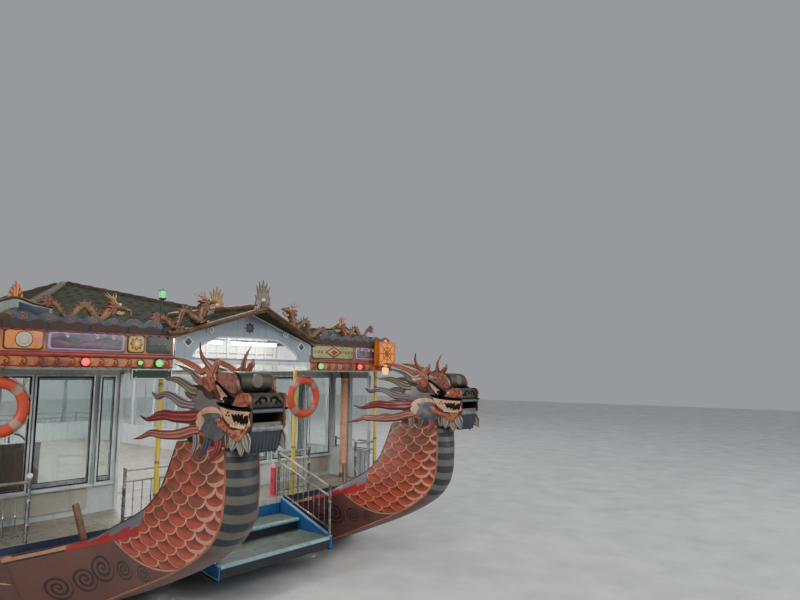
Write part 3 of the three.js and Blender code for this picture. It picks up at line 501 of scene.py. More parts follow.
# Columns: throat x and z, side x and z, back x and z, half-widths outboard at throat, side and back,
# inboard at throat, side and back, and the chest's bulge.
NECK_STATIONS = np.array([
    [-2000, -950, -2000, -400, -2000, -100, 900, 1120, 1270, 600, 710, 780, 0],
    [-1950, -930, -1950, -380, -1950, -100, 870, 1080, 1220, 580, 690, 760, 0],
    [-1300, -700, -1330, -120, -1360, 60, 480, 620, 560, 420, 540, 500, 20],
    [-700, -440, -820, 20, -900, 275, 330, 450, 440, 310, 430, 420, 40],
    [0, -130, -250, 230, -520, 490, 240, 340, 320, 265, 335, 320, 60],
    [540, 180, 150, 480, -310, 700, 205, 275, 265, 250, 285, 265, 80],
    [790, 470, 300, 700, -210, 880, 200, 250, 245, 255, 268, 245, 90],
    [850, 800, 350, 880, -130, 1060, 200, 240, 235, 250, 262, 235, 90],
    [850, 1100, 370, 1120, -80, 1190, 200, 235, 225, 235, 248, 225, 80],
    [830, 1300, 370, 1300, -40, 1300, 200, 230, 215, 218, 238, 215, 70],
]) / 1000


def neck_side(rows, cols, inboard=False):
    """One side of a neck about its own middle line: at each station the parabola through the
    throat's, the side's and the back's points. Gives points and the station's throat path."""
    s = spline(NECK_STATIONS, rows)
    first = 9 if inboard else 6
    sign = 1 if inboard else -1
    throat, side, back = (
        np.stack([s[:, 2 * k], sign * s[:, first + k], s[:, 2 * k + 1]], -1)[:, None] for k in range(3))
    u = np.linspace(0, 1, cols)[None, :, None]
    return throat * (1 - u) * (1 - 2 * u) + side * 4 * u * (1 - u) + back * u * (2 * u - 1)


def scale_zone(x, z):
    """One where the neck is scaled and nothing below, above a parabola that follows the sweep."""
    return np.clip((z + 0.108 - 0.52 * (x + 0.2) ** 2) / 0.012, 0, 1) * (1 - wedge_zone(x, z))


def wedge_zone(x, z):
    """One on the painted strake under a bow's top edge: above a straight line, aft of the neck."""
    return np.clip((z + 0.045 - 0.2766 * (x + 1.44)) / 0.01, 0, 1) * np.clip((-0.47 - x) / 0.01, 0, 1)


def scale_lattice(x, z):
    """A place on a neck's side in scales: columns stand upright, and rows bend with the sweep, as a
    quadratic of x and z."""
    one, by_x, by_z, by_xx, by_xz, by_zz = SCALE_ROWS
    row = one + by_x * x + by_z * z + by_xx * x * x + by_xz * x * z + by_zz * z * z
    return (x - SCALE_MIDDLE) / SCALE_WIDTH, -row


def scale_relief(column, row):
    """How far a scale stands out: most at its foot, none at its top. A scale is a half-disc under a
    strip, and the next row's scale, half a width along, shows outside it."""
    index = np.floor(row)
    height = row - index
    shift = 0.5 * (1 - np.mod(index, 2))
    own = 2 * (np.mod(column + shift + 0.5, 1) - 0.5)
    other = 2 * (np.mod(column + shift, 1) - 0.5)
    reach = np.hypot(own, np.minimum(height - SCALE_DEPTH, 0) / SCALE_DEPTH)
    behind = reach > 1
    rise = height + behind
    crown = 1 - np.where(behind, other, own) ** 2
    edge = np.clip((1 - reach) / 0.08, 0, 1)
    lift = 0.014 * (1 - rise / 2) + 0.005 * crown
    return np.where(behind, lift, lift * (0.35 + 0.65 * edge))


def neck():
    """One neck and bow about its own middle line: two scaled sides, a banded chest, a flat back,
    a cap under the head and one against the hull."""
    rows = 250
    sides, flows = [], []
    for inboard, sign in ((False, -1), (True, 1)):
        grid = neck_side(rows, 84, inboard)
        border = np.ones(grid.shape[:2])
        border[[0, -1]] = 0
        border[:, [0, -1]] = 0
        x, z = grid[..., 0], grid[..., 2]
        column, row = scale_lattice(x, z)
        relief = scale_relief(column, row) * scale_zone(x, z) + 0.012 * wedge_zone(x, z)
        grid[..., 1] += sign * border * relief
        sides.append(grid)
        flows.append(np.stack([column, row], -1))
    out, inn = sides
    s = spline(NECK_STATIONS, rows)
    throat, back = s[:, 0:2], s[:, 4:6]
    lean = throat - back
    lean /= np.linalg.norm(lean, axis=1)[:, None]
    place = np.linspace(BANDS, 0, rows)
    step = np.where(place < BAND_COUNT, 0.010 * np.mod(place, 1), 0)
    v = np.linspace(-1, 1, 25)
    arch = 1 - np.abs(v) ** 2.4
    push = (s[:, 12] + step)[:, None] * arch
    chest = np.empty((rows, len(v), 3))
    chest[..., 0] = throat[:, :1] + push * lean[:, :1]
    chest[..., 1] = out[:, :1, 1] + (inn[:, :1, 1] - out[:, :1, 1]) * (v + 1) / 2
    chest[..., 2] = throat[:, 1:] + push * lean[:, 1:]
    share = np.linspace(0, 1, 9)[None, :, None]
    rear = out[:, -1:] * (1 - share) + inn[:, -1:] * share
    rings = np.concatenate([chest, inn[:, 1:], rear[:, ::-1][:, 1:], out[:, ::-1][:, 1:-1]], 1)
    patches = sheet(out, 0, flow=flows[0]) + sheet(inn, 0, flow=flows[1]) + sheet(chest, 1) + sheet(rear, 2)
    patches += [face(rings[0], 2), face(rings[-1], 2)]
    for column, first, radius, index in ((0, 60, 0.013, 3), (-1, 30, 0.016, 4)):
        for side in (out, inn):
            patches += tube(side[first:-1:3, column], radius, 8, index, (0, 1, 0))
    post = lathe([(0.0, 0.0), (0.042, 0.0), (0.042, 0.49), (0.036, 0.515), (0.0, 0.52)], "z", 16, 5)
    lean_out = Matrix.Rotation(0.31, 3, Vector((0.628, -0.778, 0)))
    return patches + moved(post, (-1.72, -0.422, -0.08), turn=lean_out)


class BOAT_OT_necks(Operator):
    """Sweeps both bows up into the dragons' scaled necks."""
    bl_idname = "boat.necks"
    bl_label = "Necks"

    def execute(self, context):
        build_pair("{}_neck", "scales chest side_deck brow dark_edge verge",
                   moved(neck(), (0, -HULL_LINE, 0)),
                   "dragon_paint", "{}_bow", drawn="starboard")
        return {"FINISHED"}


# Heads

# Columns: x, z, half width in millimetres, from root to tip.
LOCKS = {
    "antler": ("brow", [
        (640, 1930, 60), (600, 2030, 62), (500, 2110, 40), (400, 2085, 40), (265, 2140, 38),
        (96, 2190, 38), (-60, 2225, 26), (-235, 2246, 5)]),
    "antler_tine": ("brow", [
        (600, 2060, 50), (650, 2140, 45), (690, 2180, 30), (700, 2235, 8)]),
    "ear": ("olive", [
        (420, 1960, 46), (300, 2010, 44), (190, 2080, 30), (60, 2120, 22), (-60, 2150, 14),
        (-186, 2178, 3)]),
    "mane_1": ("olive", [
        (330, 1870, 70), (200, 1885, 66), (60, 1940, 54), (-80, 1985, 46), (-237, 1998, 30),
        (-345, 1996, 14), (-418, 2016, 3)]),
    "mane_2": ("mauve", [
        (300, 1710, 60), (150, 1715, 48), (-10, 1735, 64), (-200, 1800, 48), (-370, 1818, 38),
        (-530, 1785, 36), (-669, 1838, 4)]),
    "mane_3": ("crimson", [
        (360, 1600, 60), (220, 1580, 74), (60, 1572, 72), (-150, 1568, 66), (-330, 1580, 62),
        (-520, 1555, 56), (-740, 1508, 26), (-916, 1545, 4)]),
    "mane_4": ("rose", [
        (400, 1450, 52), (250, 1435, 62), (60, 1390, 66), (-150, 1360, 58), (-400, 1348, 54),
        (-640, 1352, 44), (-860, 1288, 26), (-1059, 1248, 4)]),
    "whisker_grey": ("mauve", [
        (340, 1400, 60), (350, 1310, 60), (310, 1200, 40), (240, 1120, 20), (149, 1047, 4)]),
    "whisker_navy": ("navy", [
        (570, 1380, 80), (540, 1290, 62), (470, 1190, 36), (400, 1120, 18), (309, 1062, 4)]),
    "whisker_red": ("crimson", [
        (760, 1370, 60), (750, 1290, 52), (680, 1200, 34), (600, 1130, 16), (523, 1072, 4)]),
    "stub": ("orange", [
        (600, 1385, 18), (510, 1400, 24), (418, 1412, 18)]),
}

# Painted plates on the side boards: finish, height of the face in millimetres, outline as (x, z).
PLATES = {
    "grey_field": ("mauve", 6, [
        (213, 1744), (246, 1836), (363, 1895), (483, 1864), (661, 1792), (756, 1763), (742, 1698),
        (573, 1691), (420, 1663), (218, 1677)]),
    "cheek": ("tan", 12, [
        (330, 1548), (364, 1628), (477, 1687), (629, 1710), (762, 1677), (804, 1593), (681, 1502),
        (437, 1444), (355, 1483)]),
    "swirl": ("slate", 22, [
        (453, 1615), (595, 1643), (763, 1645), (804, 1593), (732, 1568), (773, 1507), (868, 1449),
        (819, 1372), (673, 1352), (517, 1405), (436, 1455), (506, 1557)]),
    "jaw": ("tan", 16, [
        (777, 1720), (906, 1699), (1083, 1685), (1267, 1682), (1256, 1636), (1284, 1576), (1278, 1535),
        (1180, 1499), (1059, 1508), (915, 1557), (820, 1637)]),
    "snout": ("gloss_brown", 30, [
        (1025, 1771), (1073, 1835), (1158, 1864), (1243, 1865), (1288, 1820), (1283, 1749), (1200, 1725),
        (1080, 1726), (992, 1738)]),
    "upper_lip": ("black", 26, [
        (719, 1761), (794, 1748), (903, 1731), (1063, 1720), (1285, 1719), (1278, 1687), (1083, 1685),
        (906, 1699), (777, 1720)]),
    "jaw_lip": ("spotted", 34, [
        (713, 1567), (786, 1592), (881, 1523), (1008, 1489), (1111, 1496), (1197, 1491), (1269, 1545),
        (1247, 1493), (1185, 1409), (1118, 1378), (1031, 1397), (921, 1453), (792, 1497)]),
    "eye_black": ("black", 18, [
        (665, 1988), (722, 1978), (838, 1904), (952, 1821), (1005, 1813), (973, 1754), (848, 1750),
        (790, 1795), (711, 1880)]),
    "eye_tan": ("tan", 26, [
        (687, 1945), (744, 1934), (840, 1872), (906, 1831), (880, 1814), (807, 1807), (749, 1870)]),
    "brow_curl": ("dark_edge", 22, [
        (279, 1939), (399, 1929), (519, 1898), (656, 1846), (660, 1803), (585, 1789), (486, 1820),
        (443, 1874), (342, 1895)]),
    "brow": ("gloss_brown", 34, [
        (398, 1941), (372, 2018), (510, 2030), (643, 2042), (671, 1912), (598, 1866), (478, 1919)]),
    "temple": ("marbled", 36, [
        (700, 2042), (734, 2076), (862, 2086), (989, 2071), (1063, 2003), (1086, 1909), (1037, 1855),
        (893, 1895), (779, 1957), (702, 1999)]),
}

HEAD_PAINTS = ("brow olive mauve crimson rose navy orange tan slate gloss_brown spotted black dark_edge "
               "marbled cream roll beard pleats roll_disc inner_board grey_band horn")
H = {key: i for i, key in enumerate(HEAD_PAINTS.split())}

# The side board behind the plates, as (x, z), and the dark mouth on the jaw.
HEAD_BOARD = [
    (180, 1860), (330, 1940), (380, 2020), (640, 2045), (735, 2078), (862, 2086), (989, 2071),
    (1066, 2003), (1084, 1900), (1150, 1866), (1243, 1865), (1288, 1820), (1286, 1700), (1288, 1530),
    (1250, 1480), (1118, 1378), (1030, 1396), (900, 1300), (720, 1305), (540, 1302), (330, 1305),
    (230, 1400), (250, 1700)]
MOUTH = [
    (985, 1648), (1010, 1652), (1035, 1632), (1060, 1656), (1085, 1634), (1110, 1658), (1140, 1634),
    (1165, 1658), (1186, 1656), (1186, 1598), (1215, 1640), (1262, 1648), (1278, 1586), (1262, 1562),
    (1244, 1546), (1222, 1572), (1200, 1540), (1180, 1566), (1160, 1540), (1130, 1576), (1105, 1554),
    (1080, 1584), (1050, 1564), (1020, 1590)]
# Columns: x, z, half width and height of small teeth under the mouth, and of the dots by the nostril.
JAW_TEETH = [(x, 1512 + 0.00026 * (x - 1130) ** 2, 17, 26) for x in range(990, 1280, 42)]
DOTS = [(925, 1662), (948, 1630), (902, 1632)]


def mm(rows):
    return np.asarray(rows, float) / 1000


def side_board():
    """One side board of a head, facing starboard: the cut-out sheet, its painted plates, its locks of
    mane, the black eye with two cream dots of painted highlight on it, the teeth and the studs of the lip."""
    low = -BOARD_FACE
    outline = mm(HEAD_BOARD)
    patches = prism(outline, "y", low, low + 0.03, H["inner_board"])
    for kind, height, rows in PLATES.values():
        rise = height / 1000
        patches += plate(mm(rows), H[kind], low + 0.002, -rise, edge=min(0.012, rise * 0.6))
    for key, (kind, rows) in LOCKS.items():
        level = low + (0.012 if key.startswith("mane") else 0.0)
        patches += lock(mm(rows), H[kind], 0.03, level)
    face_y = low - 0.0135
    patches += plate(mm(MOUTH), H["black"], face_y, -0.006, 1, 0.004)
    for x, z, half, tall in JAW_TEETH:
        tooth = [(x - half, z), (x + half, z), (x + 0.3 * half, z + tall), (x - 0.3 * half, z + tall)]
        patches += plate(mm(tooth), H["cream"], face_y - 0.001, -0.006, 1, 0.004)
    for x, z in DOTS:
        patches += moved(plate(circle(8, 0.013, 0.011), H["black"], 0, -0.006, 1, 0.003),
                         (x / 1000, face_y, z / 1000))
    dome = np.array([(0.0, 0.85), (0.45, 0.75), (0.8, 0.5), (1.0, 0.0)])
    # The black eyeball and, on it, two small cream domes that are painted highlights.
    for radius, key, x, out, z in ((0.041, "black", 0.885, 0.024, 1.786), (0.013, "cream", 0.868, 0.056, 1.8),
                                   (0.008, "cream", 0.9, 0.056, 1.776)):
        patches += moved(lathe(dome * radius, "y", 18, H[key]), (x, low - out, z), turn=FLIP)
    return patches


def across(outline, paint_index, half=0.2, crown=0.012, steps=9):
    """A roll between the side boards: a rounded outline of (x, z) carried across, its middle a little
    fuller than its ends."""
    ring = spline(mm(outline), 6 * len(outline), closed=True)
    middle = ring.mean(0)
    y = np.linspace(-half, half, steps)
    swell = 1 + crown * (1 - (y / half) ** 2) / np.hypot(*(ring - middle).T).max()
    flat = middle + (ring - middle)[None] * swell[:, None, None]
    grid = np.stack([flat[..., 0], np.broadcast_to(y[:, None], flat.shape[:2]), flat[..., 1]], -1)
    return sheet(grid, paint_index, wrap=True, caps=True)


# The rolled front: finish, outline as (x, z).
ROLLS = [
    ("roll", [
        (560, 2078), (800, 2084), (960, 2084), (1052, 2050), (1086, 1980), (1062, 1900), (980, 1868),
        (800, 1890), (600, 1960)]),
    ("roll", [
        (900, 1850), (1100, 1858), (1200, 1861), (1262, 1825), (1280, 1770), (1250, 1710), (1150, 1696),
        (900, 1700)]),
    ("slate", [
        (900, 1706), (1240, 1706), (1278, 1695), (1284, 1676), (1262, 1664), (900, 1668)]),
    ("grey_band", [
        (900, 1540), (1230, 1542), (1272, 1532), (1288, 1505), (1276, 1478), (1220, 1470), (1000, 1470)]),
    ("inner_board", [
        (180, 1560), (300, 1920), (560, 2060), (900, 1960), (950, 1700), (960, 1420), (900, 1310),
        (150, 1310)]),
]


def beard():
    """The pleated beard under the jaw: a sheet across the front whose depth follows a row of folds,
    with leaves that hang from the jaw at each side."""
    y = np.linspace(-0.2, 0.2, 97)
    z = np.linspace(1.478, 1.285, 12)
    fold = 0.5 + 0.5 * np.cos(y / 0.4 * TURN * 9)
    hang = np.linspace(0, 1, len(z))
    front = 1.262 + 0.016 * fold[None] * (0.3 + 0.7 * hang[:, None]) - 0.05 * hang[:, None]
    drop = z[:, None] - 0.03 * fold[None] * hang[:, None] ** 3
    outer = np.stack([front, np.broadcast_to(y, front.shape), drop], -1)
    inner = outer - np.array([0.05, 0, 0])
    around = np.concatenate([outer, inner[::-1]])
    return sheet(around, H["pleats"], loop=True) + [face(around[:, end], H["pleats"]) for end in (0, -1)]


# Beard leaves on each side board: (x, z, half width) rows from root to tip.
LEAVES = [
    [(900, 1450, 66), (905, 1390, 80), (905, 1335, 58), (893, 1285, 5)],
    [(1000, 1440, 76), (1012, 1370, 92), (1005, 1318, 58), (998, 1262, 5)],
    [(1100, 1430, 76), (1122, 1350, 98), (1136, 1285, 56), (1142, 1225, 5)],
    [(1200, 1440, 72), (1235, 1370, 86), (1262, 1320, 50), (1292, 1272, 5)],
]


def head():
    """One head about its own middle line."""
    patches = []
    board = side_board()
    for leaf in LEAVES:
        board += lock(mm(leaf), H["beard"], 0.014, -BOARD_FACE + 0.012 - 0.014 * (leaf[0][0] % 200 == 0))
    patches += both(board)
    for kind, outline in ROLLS:
        patches += across(outline, H[kind])
    patches += beard()
    disc = [(0.0, 0.008), (0.066, 0.007), (0.074, 0.0), (0.074, -0.03)]
    patches += lathe(disc, "x", 28, H["roll_disc"], (1.092, 0, 1.985))
    for y in np.linspace(-0.185, 0.185, 20):
        tooth = [(y - 0.0095, 1.535), (y + 0.0095, 1.535), (y, 1.566)]
        patches += prism(tooth, "x", 1.245, 1.268, H["beard"])
    for side in (-1, 1):
        for radius, (y, z) in ((0.045, (0.075, 1.79)), (0.03, (0.13, 1.765))):
            turn = np.linspace(-0.4, 3.6, 18)
            rim = stand(np.stack([side * (y + radius * np.cos(turn)), z + 0.8 * radius * np.sin(turn)], -1),
                        "x", 1.286)
            patches += tube(rim, 0.011, 8, H["black"], (1, 0, 0))
        horn = spline([(0.62, side * 0.13, 1.98, 0.05), (0.56, side * 0.19, 2.09, 0.04),
                       (0.50, side * 0.25, 2.18, 0.03),
                       (0.475, side * 0.30, 2.28, 0.021), (0.518, side * 0.345, 2.40, 0.005)], 26)
        patches += tube(horn[:, :3], horn[:, 3], 12, H["horn"], (1, 0, 0))
    return patches


class BOAT_OT_heads(Operator):
    """Makes both dragon heads: painted side boards round a rolled front."""
    bl_idname = "boat.heads"
    bl_label = "Heads"

    def execute(self, context):
        for side, y in (("starboard", -HULL_LINE), ("port", HULL_LINE)):
            build(f"{side}_dragon_head", HEAD_PAINTS, moved(head(), (0, y, 0)), "head_paint", f"{side}_head")
        return {"FINISHED"}


# Roof

EAVE_BOW, EAVE_STERN, EAVE_HALF = -1.57, -14.75, 3.56
EAVE_UNDER = 2.59
INSET_FRONT = [0, 0.11, 2.45, 4.9, 7.0]
INSET_AFT = [0, 0.11, 2.45, 4.9, 6.0]
INSET_SIDE = [0, 0.11, 1.225, 2.45, 3.5]
ROOF_HEIGHTS = [2.6503, 2.6503, 3.08, 3.6, 4.06]
TILE_WIDTH = 0.24
TILE_ROW = 0.36
PORCH_HALF, PORCH_EAVE, PORCH_APEX = 1.4, 2.6, 3.087
PORCH_BACK = -2.5
PORCH_SLOPE = (PORCH_APEX - PORCH_EAVE) / PORCH_HALF


def roof_height(x, y):
    """The hipped roof's smooth top: the lowest of its four slopes, each a broken line of the distance
    in from its eave."""
    ahead = np.interp(EAVE_BOW - x, INSET_FRONT, ROOF_HEIGHTS)
    behind = np.interp(x - EAVE_STERN, INSET_AFT, ROOF_HEIGHTS)
    beside = np.interp(EAVE_HALF - np.abs(y), INSET_SIDE, ROOF_HEIGHTS)
    return np.minimum(beside, np.minimum(ahead, behind)), beside <= np.minimum(ahead, behind)


def tile_relief(along, down):
    """Rows of half-round tiles: a rib is the root of a cosine of the distance along the eave, and each
    row steps up at its lower end."""
    rib = np.sqrt(np.maximum(np.cos(along / TILE_WIDTH * TURN), 0)) * 0.03
    return rib + 0.02 * (1 - np.mod(down / TILE_ROW, 1))


def tiled_slab(x, y):
    """A block of roof over a grid: tiled top, upright skirt and flat underside."""
    gx, gy = np.meshgrid(x, y, indexing="ij")
    z, side = roof_height(gx, gy)
    down = np.where(side, EAVE_HALF - np.abs(gy), np.minimum(EAVE_BOW - gx, (gx - EAVE_STERN) * 7 / 6) / 2)
    top = np.stack([gx, gy, z + tile_relief(np.where(side, gx, gy), down)], -1)
    edge = np.concatenate([top[:-1, 0], top[-1, :-1], top[:0:-1, -1], top[0, :0:-1]])
    foot = edge.copy()
    foot[:, 2] = EAVE_UNDER
    return sheet(top) + sheet(np.stack([edge, foot]), 1, wrap=True) + [face(foot, 2)]


def hip_cap(path, radius=0.075):
    """Half-round cap tiles along a hip: the radius falls along each tile and starts again."""
    path = np.asarray(path, float)
    length = np.concatenate([[0], np.cumsum(np.linalg.norm(np.diff(path, axis=0), axis=1))])
    at = np.arange(0, length[-1], 0.09)
    line = np.stack([np.interp(at, length, path[:, k]) for k in range(3)], -1)
    return tube(line, radius * (1.12 - 0.24 * np.mod(at / TILE_ROW, 1)), 10, 3)


def spiral(radius, turns, thick, paint=0, steps=22, level=-0.012):
    """A painted scroll that stands out of a board: its radius grows evenly with its turn."""
    t = np.linspace(0.12, 1, steps)
    turn = t * turns * TURN
    path = np.stack([radius * t * np.cos(turn), np.full(steps, level), radius * t * np.sin(turn)], -1)
    return tube(path, thick * (0.5 + 0.5 * np.sin(t * math.pi)), 6, paint, (0, 1, 0))


def cloud_crest(length, height=0.13):
    """A scalloped board with a spiral in each wave, from the start of its line towards plus x."""
    waves = max(1, round(length / 0.26))
    s = np.linspace(0, length, waves * 10 + 1)
    top = 0.55 * height + 0.45 * height * np.abs(np.sin(s / length * waves * math.pi))
    patches = prism(np.concatenate([np.stack([s, top], -1), [(length, 0), (0, 0)]]), "y", -0.012, 0.012)
    for k in range(waves):
        patches += moved(spiral(0.045, 1.4, 0.007, 1), ((k + 0.5) * length / waves, 0, height * 0.5))
    return patches


def main_roof():
    """The hipped roof round the porch, with caps along its hips and ridge."""
    step = TILE_WIDTH / 6
    y = np.linspace(-EAVE_HALF, EAVE_HALF, round(2 * EAVE_HALF / step) + 1)
    x = np.linspace(EAVE_STERN, PORCH_BACK, round((PORCH_BACK - EAVE_STERN) / step) + 1)
    front = np.linspace(PORCH_BACK, EAVE_BOW, 25)
    wing = np.linspace(PORCH_HALF, EAVE_HALF, 55)
    patches = tiled_slab(x, y) + tiled_slab(front, wing) + tiled_slab(front, -wing[::-1])
    for sign in (-1, 1):
        for eave, way, inset in ((EAVE_BOW, -1, INSET_FRONT), (EAVE_STERN, 1, INSET_AFT)):
            rows = list(zip(inset, INSET_SIDE, ROOF_HEIGHTS))[1:]
            patches += hip_cap([(eave + way * a, sign * (EAVE_HALF - b), h + 0.03) for a, b, h in rows])
    patches += hip_cap([(-8.4, 0, 4.07), (-8.9, 0, 4.07)])
    build("roof_tiles", "tiles eave_board soffit ridge", patches, "roof_tile", "roof", crease=50)


def porch_roof():
    """The porch's saddle roof, whose front leans out to its ridge, with a cap and curled verges."""
    s = np.linspace(-PORCH_HALF, PORCH_HALF, 71)
    front = -1.228 - 0.362 * np.abs(s) / PORCH_HALF
    x = front[None] + (-4.1 - front[None]) * np.linspace(0, 1, 66)[:, None]
    out = np.broadcast_to(np.abs(s), x.shape)
    smooth = PORCH_APEX - 0.02 - PORCH_SLOPE * out
    rise = tile_relief(x, PORCH_HALF - out)
    top = np.stack([x, np.broadcast_to(s, x.shape), smooth + rise * 0.8], -1)
    low = top.copy()
    low[..., 2] = smooth - 0.05
    ring = np.concatenate([top, low[:, ::-1]], 1)
    patches = sheet(ring, 0, wrap=True) + [face(ring[0], 1), face(ring[-1], 1)]
    patches += hip_cap([(x, 0, PORCH_APEX + 0.02) for x in (-1.24, -4.05)], 0.06)
    for sign in (-1, 1):
        y = np.linspace(0, sign * 1.42, 24)
        curl = 0.05 * np.clip((np.abs(y) - 1.1) / 0.32, 0, 1) ** 2
        lean = -1.222 - 0.362 * np.abs(y) / PORCH_HALF
        verge = np.stack([lean, y, PORCH_APEX - 0.02 - PORCH_SLOPE * np.abs(y) + curl], -1)
        patches += sweep(verge, circle(8) * [0.035, 0.075], 1.0, (1, 0, 0), 3)
    build("porch_tiles", "tiles verge soffit verge", patches, "roof_tile", "porch_roof", crease=50)


def crests():
    """Cloud boards along the eaves."""
    patches = both(moved(cloud_crest(1.9), (-1.60, -3.4, 2.66), turn=FACE_FRONT))
    patches += both(moved(cloud_crest(12.6), (-14.5, -3.53, 2.66)))
    patches += moved(cloud_crest(6.6), (-14.72, 3.3, 2.66), turn=FACE_AFT)
    build("eave_crests", "cloud_blue scroll_rust", patches, "ornament")


def gablets():
    """Small painted gables on the front eaves, each with a blue tag and an orange flame."""
    top = [(-0.45, 2.925), (-0.22, 2.965), (0.0, 3.035), (0.22, 2.975), (0.46, 2.94)]
    parts = prism([(0.46, 2.78), (-0.45, 2.64)] + top, "y", -0.03, 0.03)
    path = stand(spline(top, 17) + [0, 0.01], "y", 0)
    parts += sweep(path, circle(8) * [0.055, 0.022], paint=1)
    parts += plate([(0.04, 2.83), (0.42, 2.82), (0.42, 2.925), (0.22, 2.945), (0.04, 2.99)], 3, -0.03,
                   -0.006, 1)
    for high, wide, tall in ((0.0, 0.072, 0.085), (0.07, 0.05, 0.07), (0.13, 0.03, 0.055)):
        for side in (-1, 1):
            parts += lock([(side * 0.012, 3.035 + high, 0.026), (side * wide, 3.045 + high, 0.024),
                           (side * (wide + 0.006), 3.04 + high + tall, 0.003)], 2, 0.02, 0, 4, 10)
    parts += lock([(0, 3.03, 0.045), (0, 3.12, 0.05), (0.01, 3.2, 0.028), (-0.01, 3.27, 0.003)], 2, 0.026, 0,
                  6, 12)
    parts = moved(parts, (-2.59, -3.04, 0), turn=FACE_FRONT)
    build("eave_gablets", "pale_blue verge leaf_orange navy_paint", both(parts), "ornament")


class BOAT_OT_roof(Operator):
    """Tiles the hipped roof and the porch's saddle roof, caps the hips and crests the eaves."""
    bl_idname = "boat.roof"
    bl_label = "Roof"

    def execute(self, context):
        main_roof()
        porch_roof()
        crests()
        gablets()
        return {"FINISHED"}


# Painted frieze

FRIEZE_LOW, FRIEZE_MIDDLE, FRIEZE_TOP = 2.124, 2.321, 2.59
FRIEZE_PAINTS = ("frieze_ground scroll red_band orange_panel pale_disc mauve_panel lilac_frame hill "
                 "ochre_panel crimson green_panel dark_panel cream plum")
F = {key: i for i, key in enumerate(FRIEZE_PAINTS.split())}


def rounded(width, height, corner=0.04, steps=5):
    """A rectangle with quarter-round corners about the middle."""
    turn = np.linspace(0, math.pi / 2, steps)
    quarter = corner * np.stack([np.cos(turn), np.sin(turn)], -1)
    half = np.array([width / 2 - corner, height / 2 - corner])
    top = [quarter + half, quarter[::-1] * [-1, 1] + half * [-1, 1]]
    return np.concatenate([*top, *(-t for t in top)])


def petals(count, inner, outer, ripple=0.5):
    """A flower's outline: the radius swings between inner and outer once for each petal."""
    turn = np.linspace(0, TURN, count * 8, endpoint=False)
    radius = inner + (outer - inner) * (0.5 + 0.5 * np.cos(turn * count)) ** ripple
    return np.stack([radius * np.cos(turn), radius * np.sin(turn)], -1)


def panel(kind, width):
    """One frieze panel about its own middle, facing -y, in shallow steps of relief."""
    height = FRIEZE_TOP - FRIEZE_MIDDLE - 0.02

    def layers(*rows):
        """Flat steps, each with its outline, finish, level and rise."""
        return [p for outline, key, low, rise in rows for p in plate(outline, F[key], -low, -rise, 1, 0.004)]

    def ground(key, edge="dark_panel"):
        return layers((rounded(width, height), edge, 0.0, 0.008),
                      (rounded(width - 0.036, height - 0.036), key, 0.008, 0.003))

    if kind == "moon":
        rings = ((0.10, "crimson", 0.011), (0.088, "pale_disc", 0.015), (0.06, "orange_panel", 0.018),
                 (0.05, "pale_disc", 0.021))
        return ground("orange_panel") + layers(
            *((circle(24, r, r), key, low, 0.004) for r, key, low in rings))
    if kind == "vista":
        parts = ground("lilac_frame", "mauve_panel")
        parts += layers((rounded(width - 0.09, height - 0.07), "mauve_panel", 0.011, 0.003))
        span = width - 0.12
        s = np.linspace(-span / 2, span / 2, 41)
        for shift, tall, key, low in ((0.0, 0.55, "hill", 0.014), (0.9, 0.34, "plum", 0.018)):
            ridge = -height / 2 + 0.05 + height * tall * (0.4 + 0.6 * np.abs(np.sin(s / span * 5.2 + shift)))
            foot = [(span / 2, -height / 2 + 0.04), (-span / 2, -height / 2 + 0.04)]
            parts += layers((np.concatenate([np.stack([s, ridge], -1), foot]), key, low, 0.004))
        for k in (-0.3, 0.12, 0.36):
            parts += moved(spiral(0.026, 1.5, 0.005, F["cream"], 16), (k * span, -0.012, height * 0.24))
        return parts
    if kind == "flower":
        reach = min(width, height) / 2 - 0.035
        return ground("ochre_panel") + layers(
            (petals(8, reach * 0.62, reach), "crimson", 0.011, 0.004),
            (petals(8, reach * 0.4, reach * 0.75), "ochre_panel", 0.015, 0.004),
            (circle(24, reach * 0.25, reach * 0.25), "cream", 0.019, 0.004))
    if kind == "diamond":
        lozenge = np.array([(-0.22, 0), (0, 0.105), (0.22, 0), (0, -0.105)])
        steps = ((1.0, "crimson", 0.011), (0.7, "ochre_panel", 0.015), (0.45, "crimson", 0.019))
        parts = ground("green_panel") + layers(
            *((lozenge * scale, key, low, 0.004) for scale, key, low in steps))
        for side in (-1, 1):
            for k in range(3):
                at = (side * (0.3 + 0.08 * k) * min(1.0, width), -0.003, 0)
                parts += moved(spiral(0.035, 1.3, 0.006, F["crimson"], 16), at)
        return parts
    places = [(-width / 2 + 0.07 + 0.1 * k, 0) for k in range(max(1, int(width / 0.1)))]
    return ground("dark_panel", "hill") + layers(*((petals(4, 0.014, 0.04) + at, "hill", 0.011, 0.004)
                                                   for at in places))


def scalloped(length, waves, level, depth, rise=1):
    """A board's outline under the frieze's top, its foot a row of arches: the size of a sine."""
    s = np.linspace(0, length, waves * 6 + 1)
    foot = level + depth * np.abs(np.sin(s * rise))
    return np.concatenate([np.stack([s, foot], -1), [(length, FRIEZE_TOP), (0, FRIEZE_TOP)]])


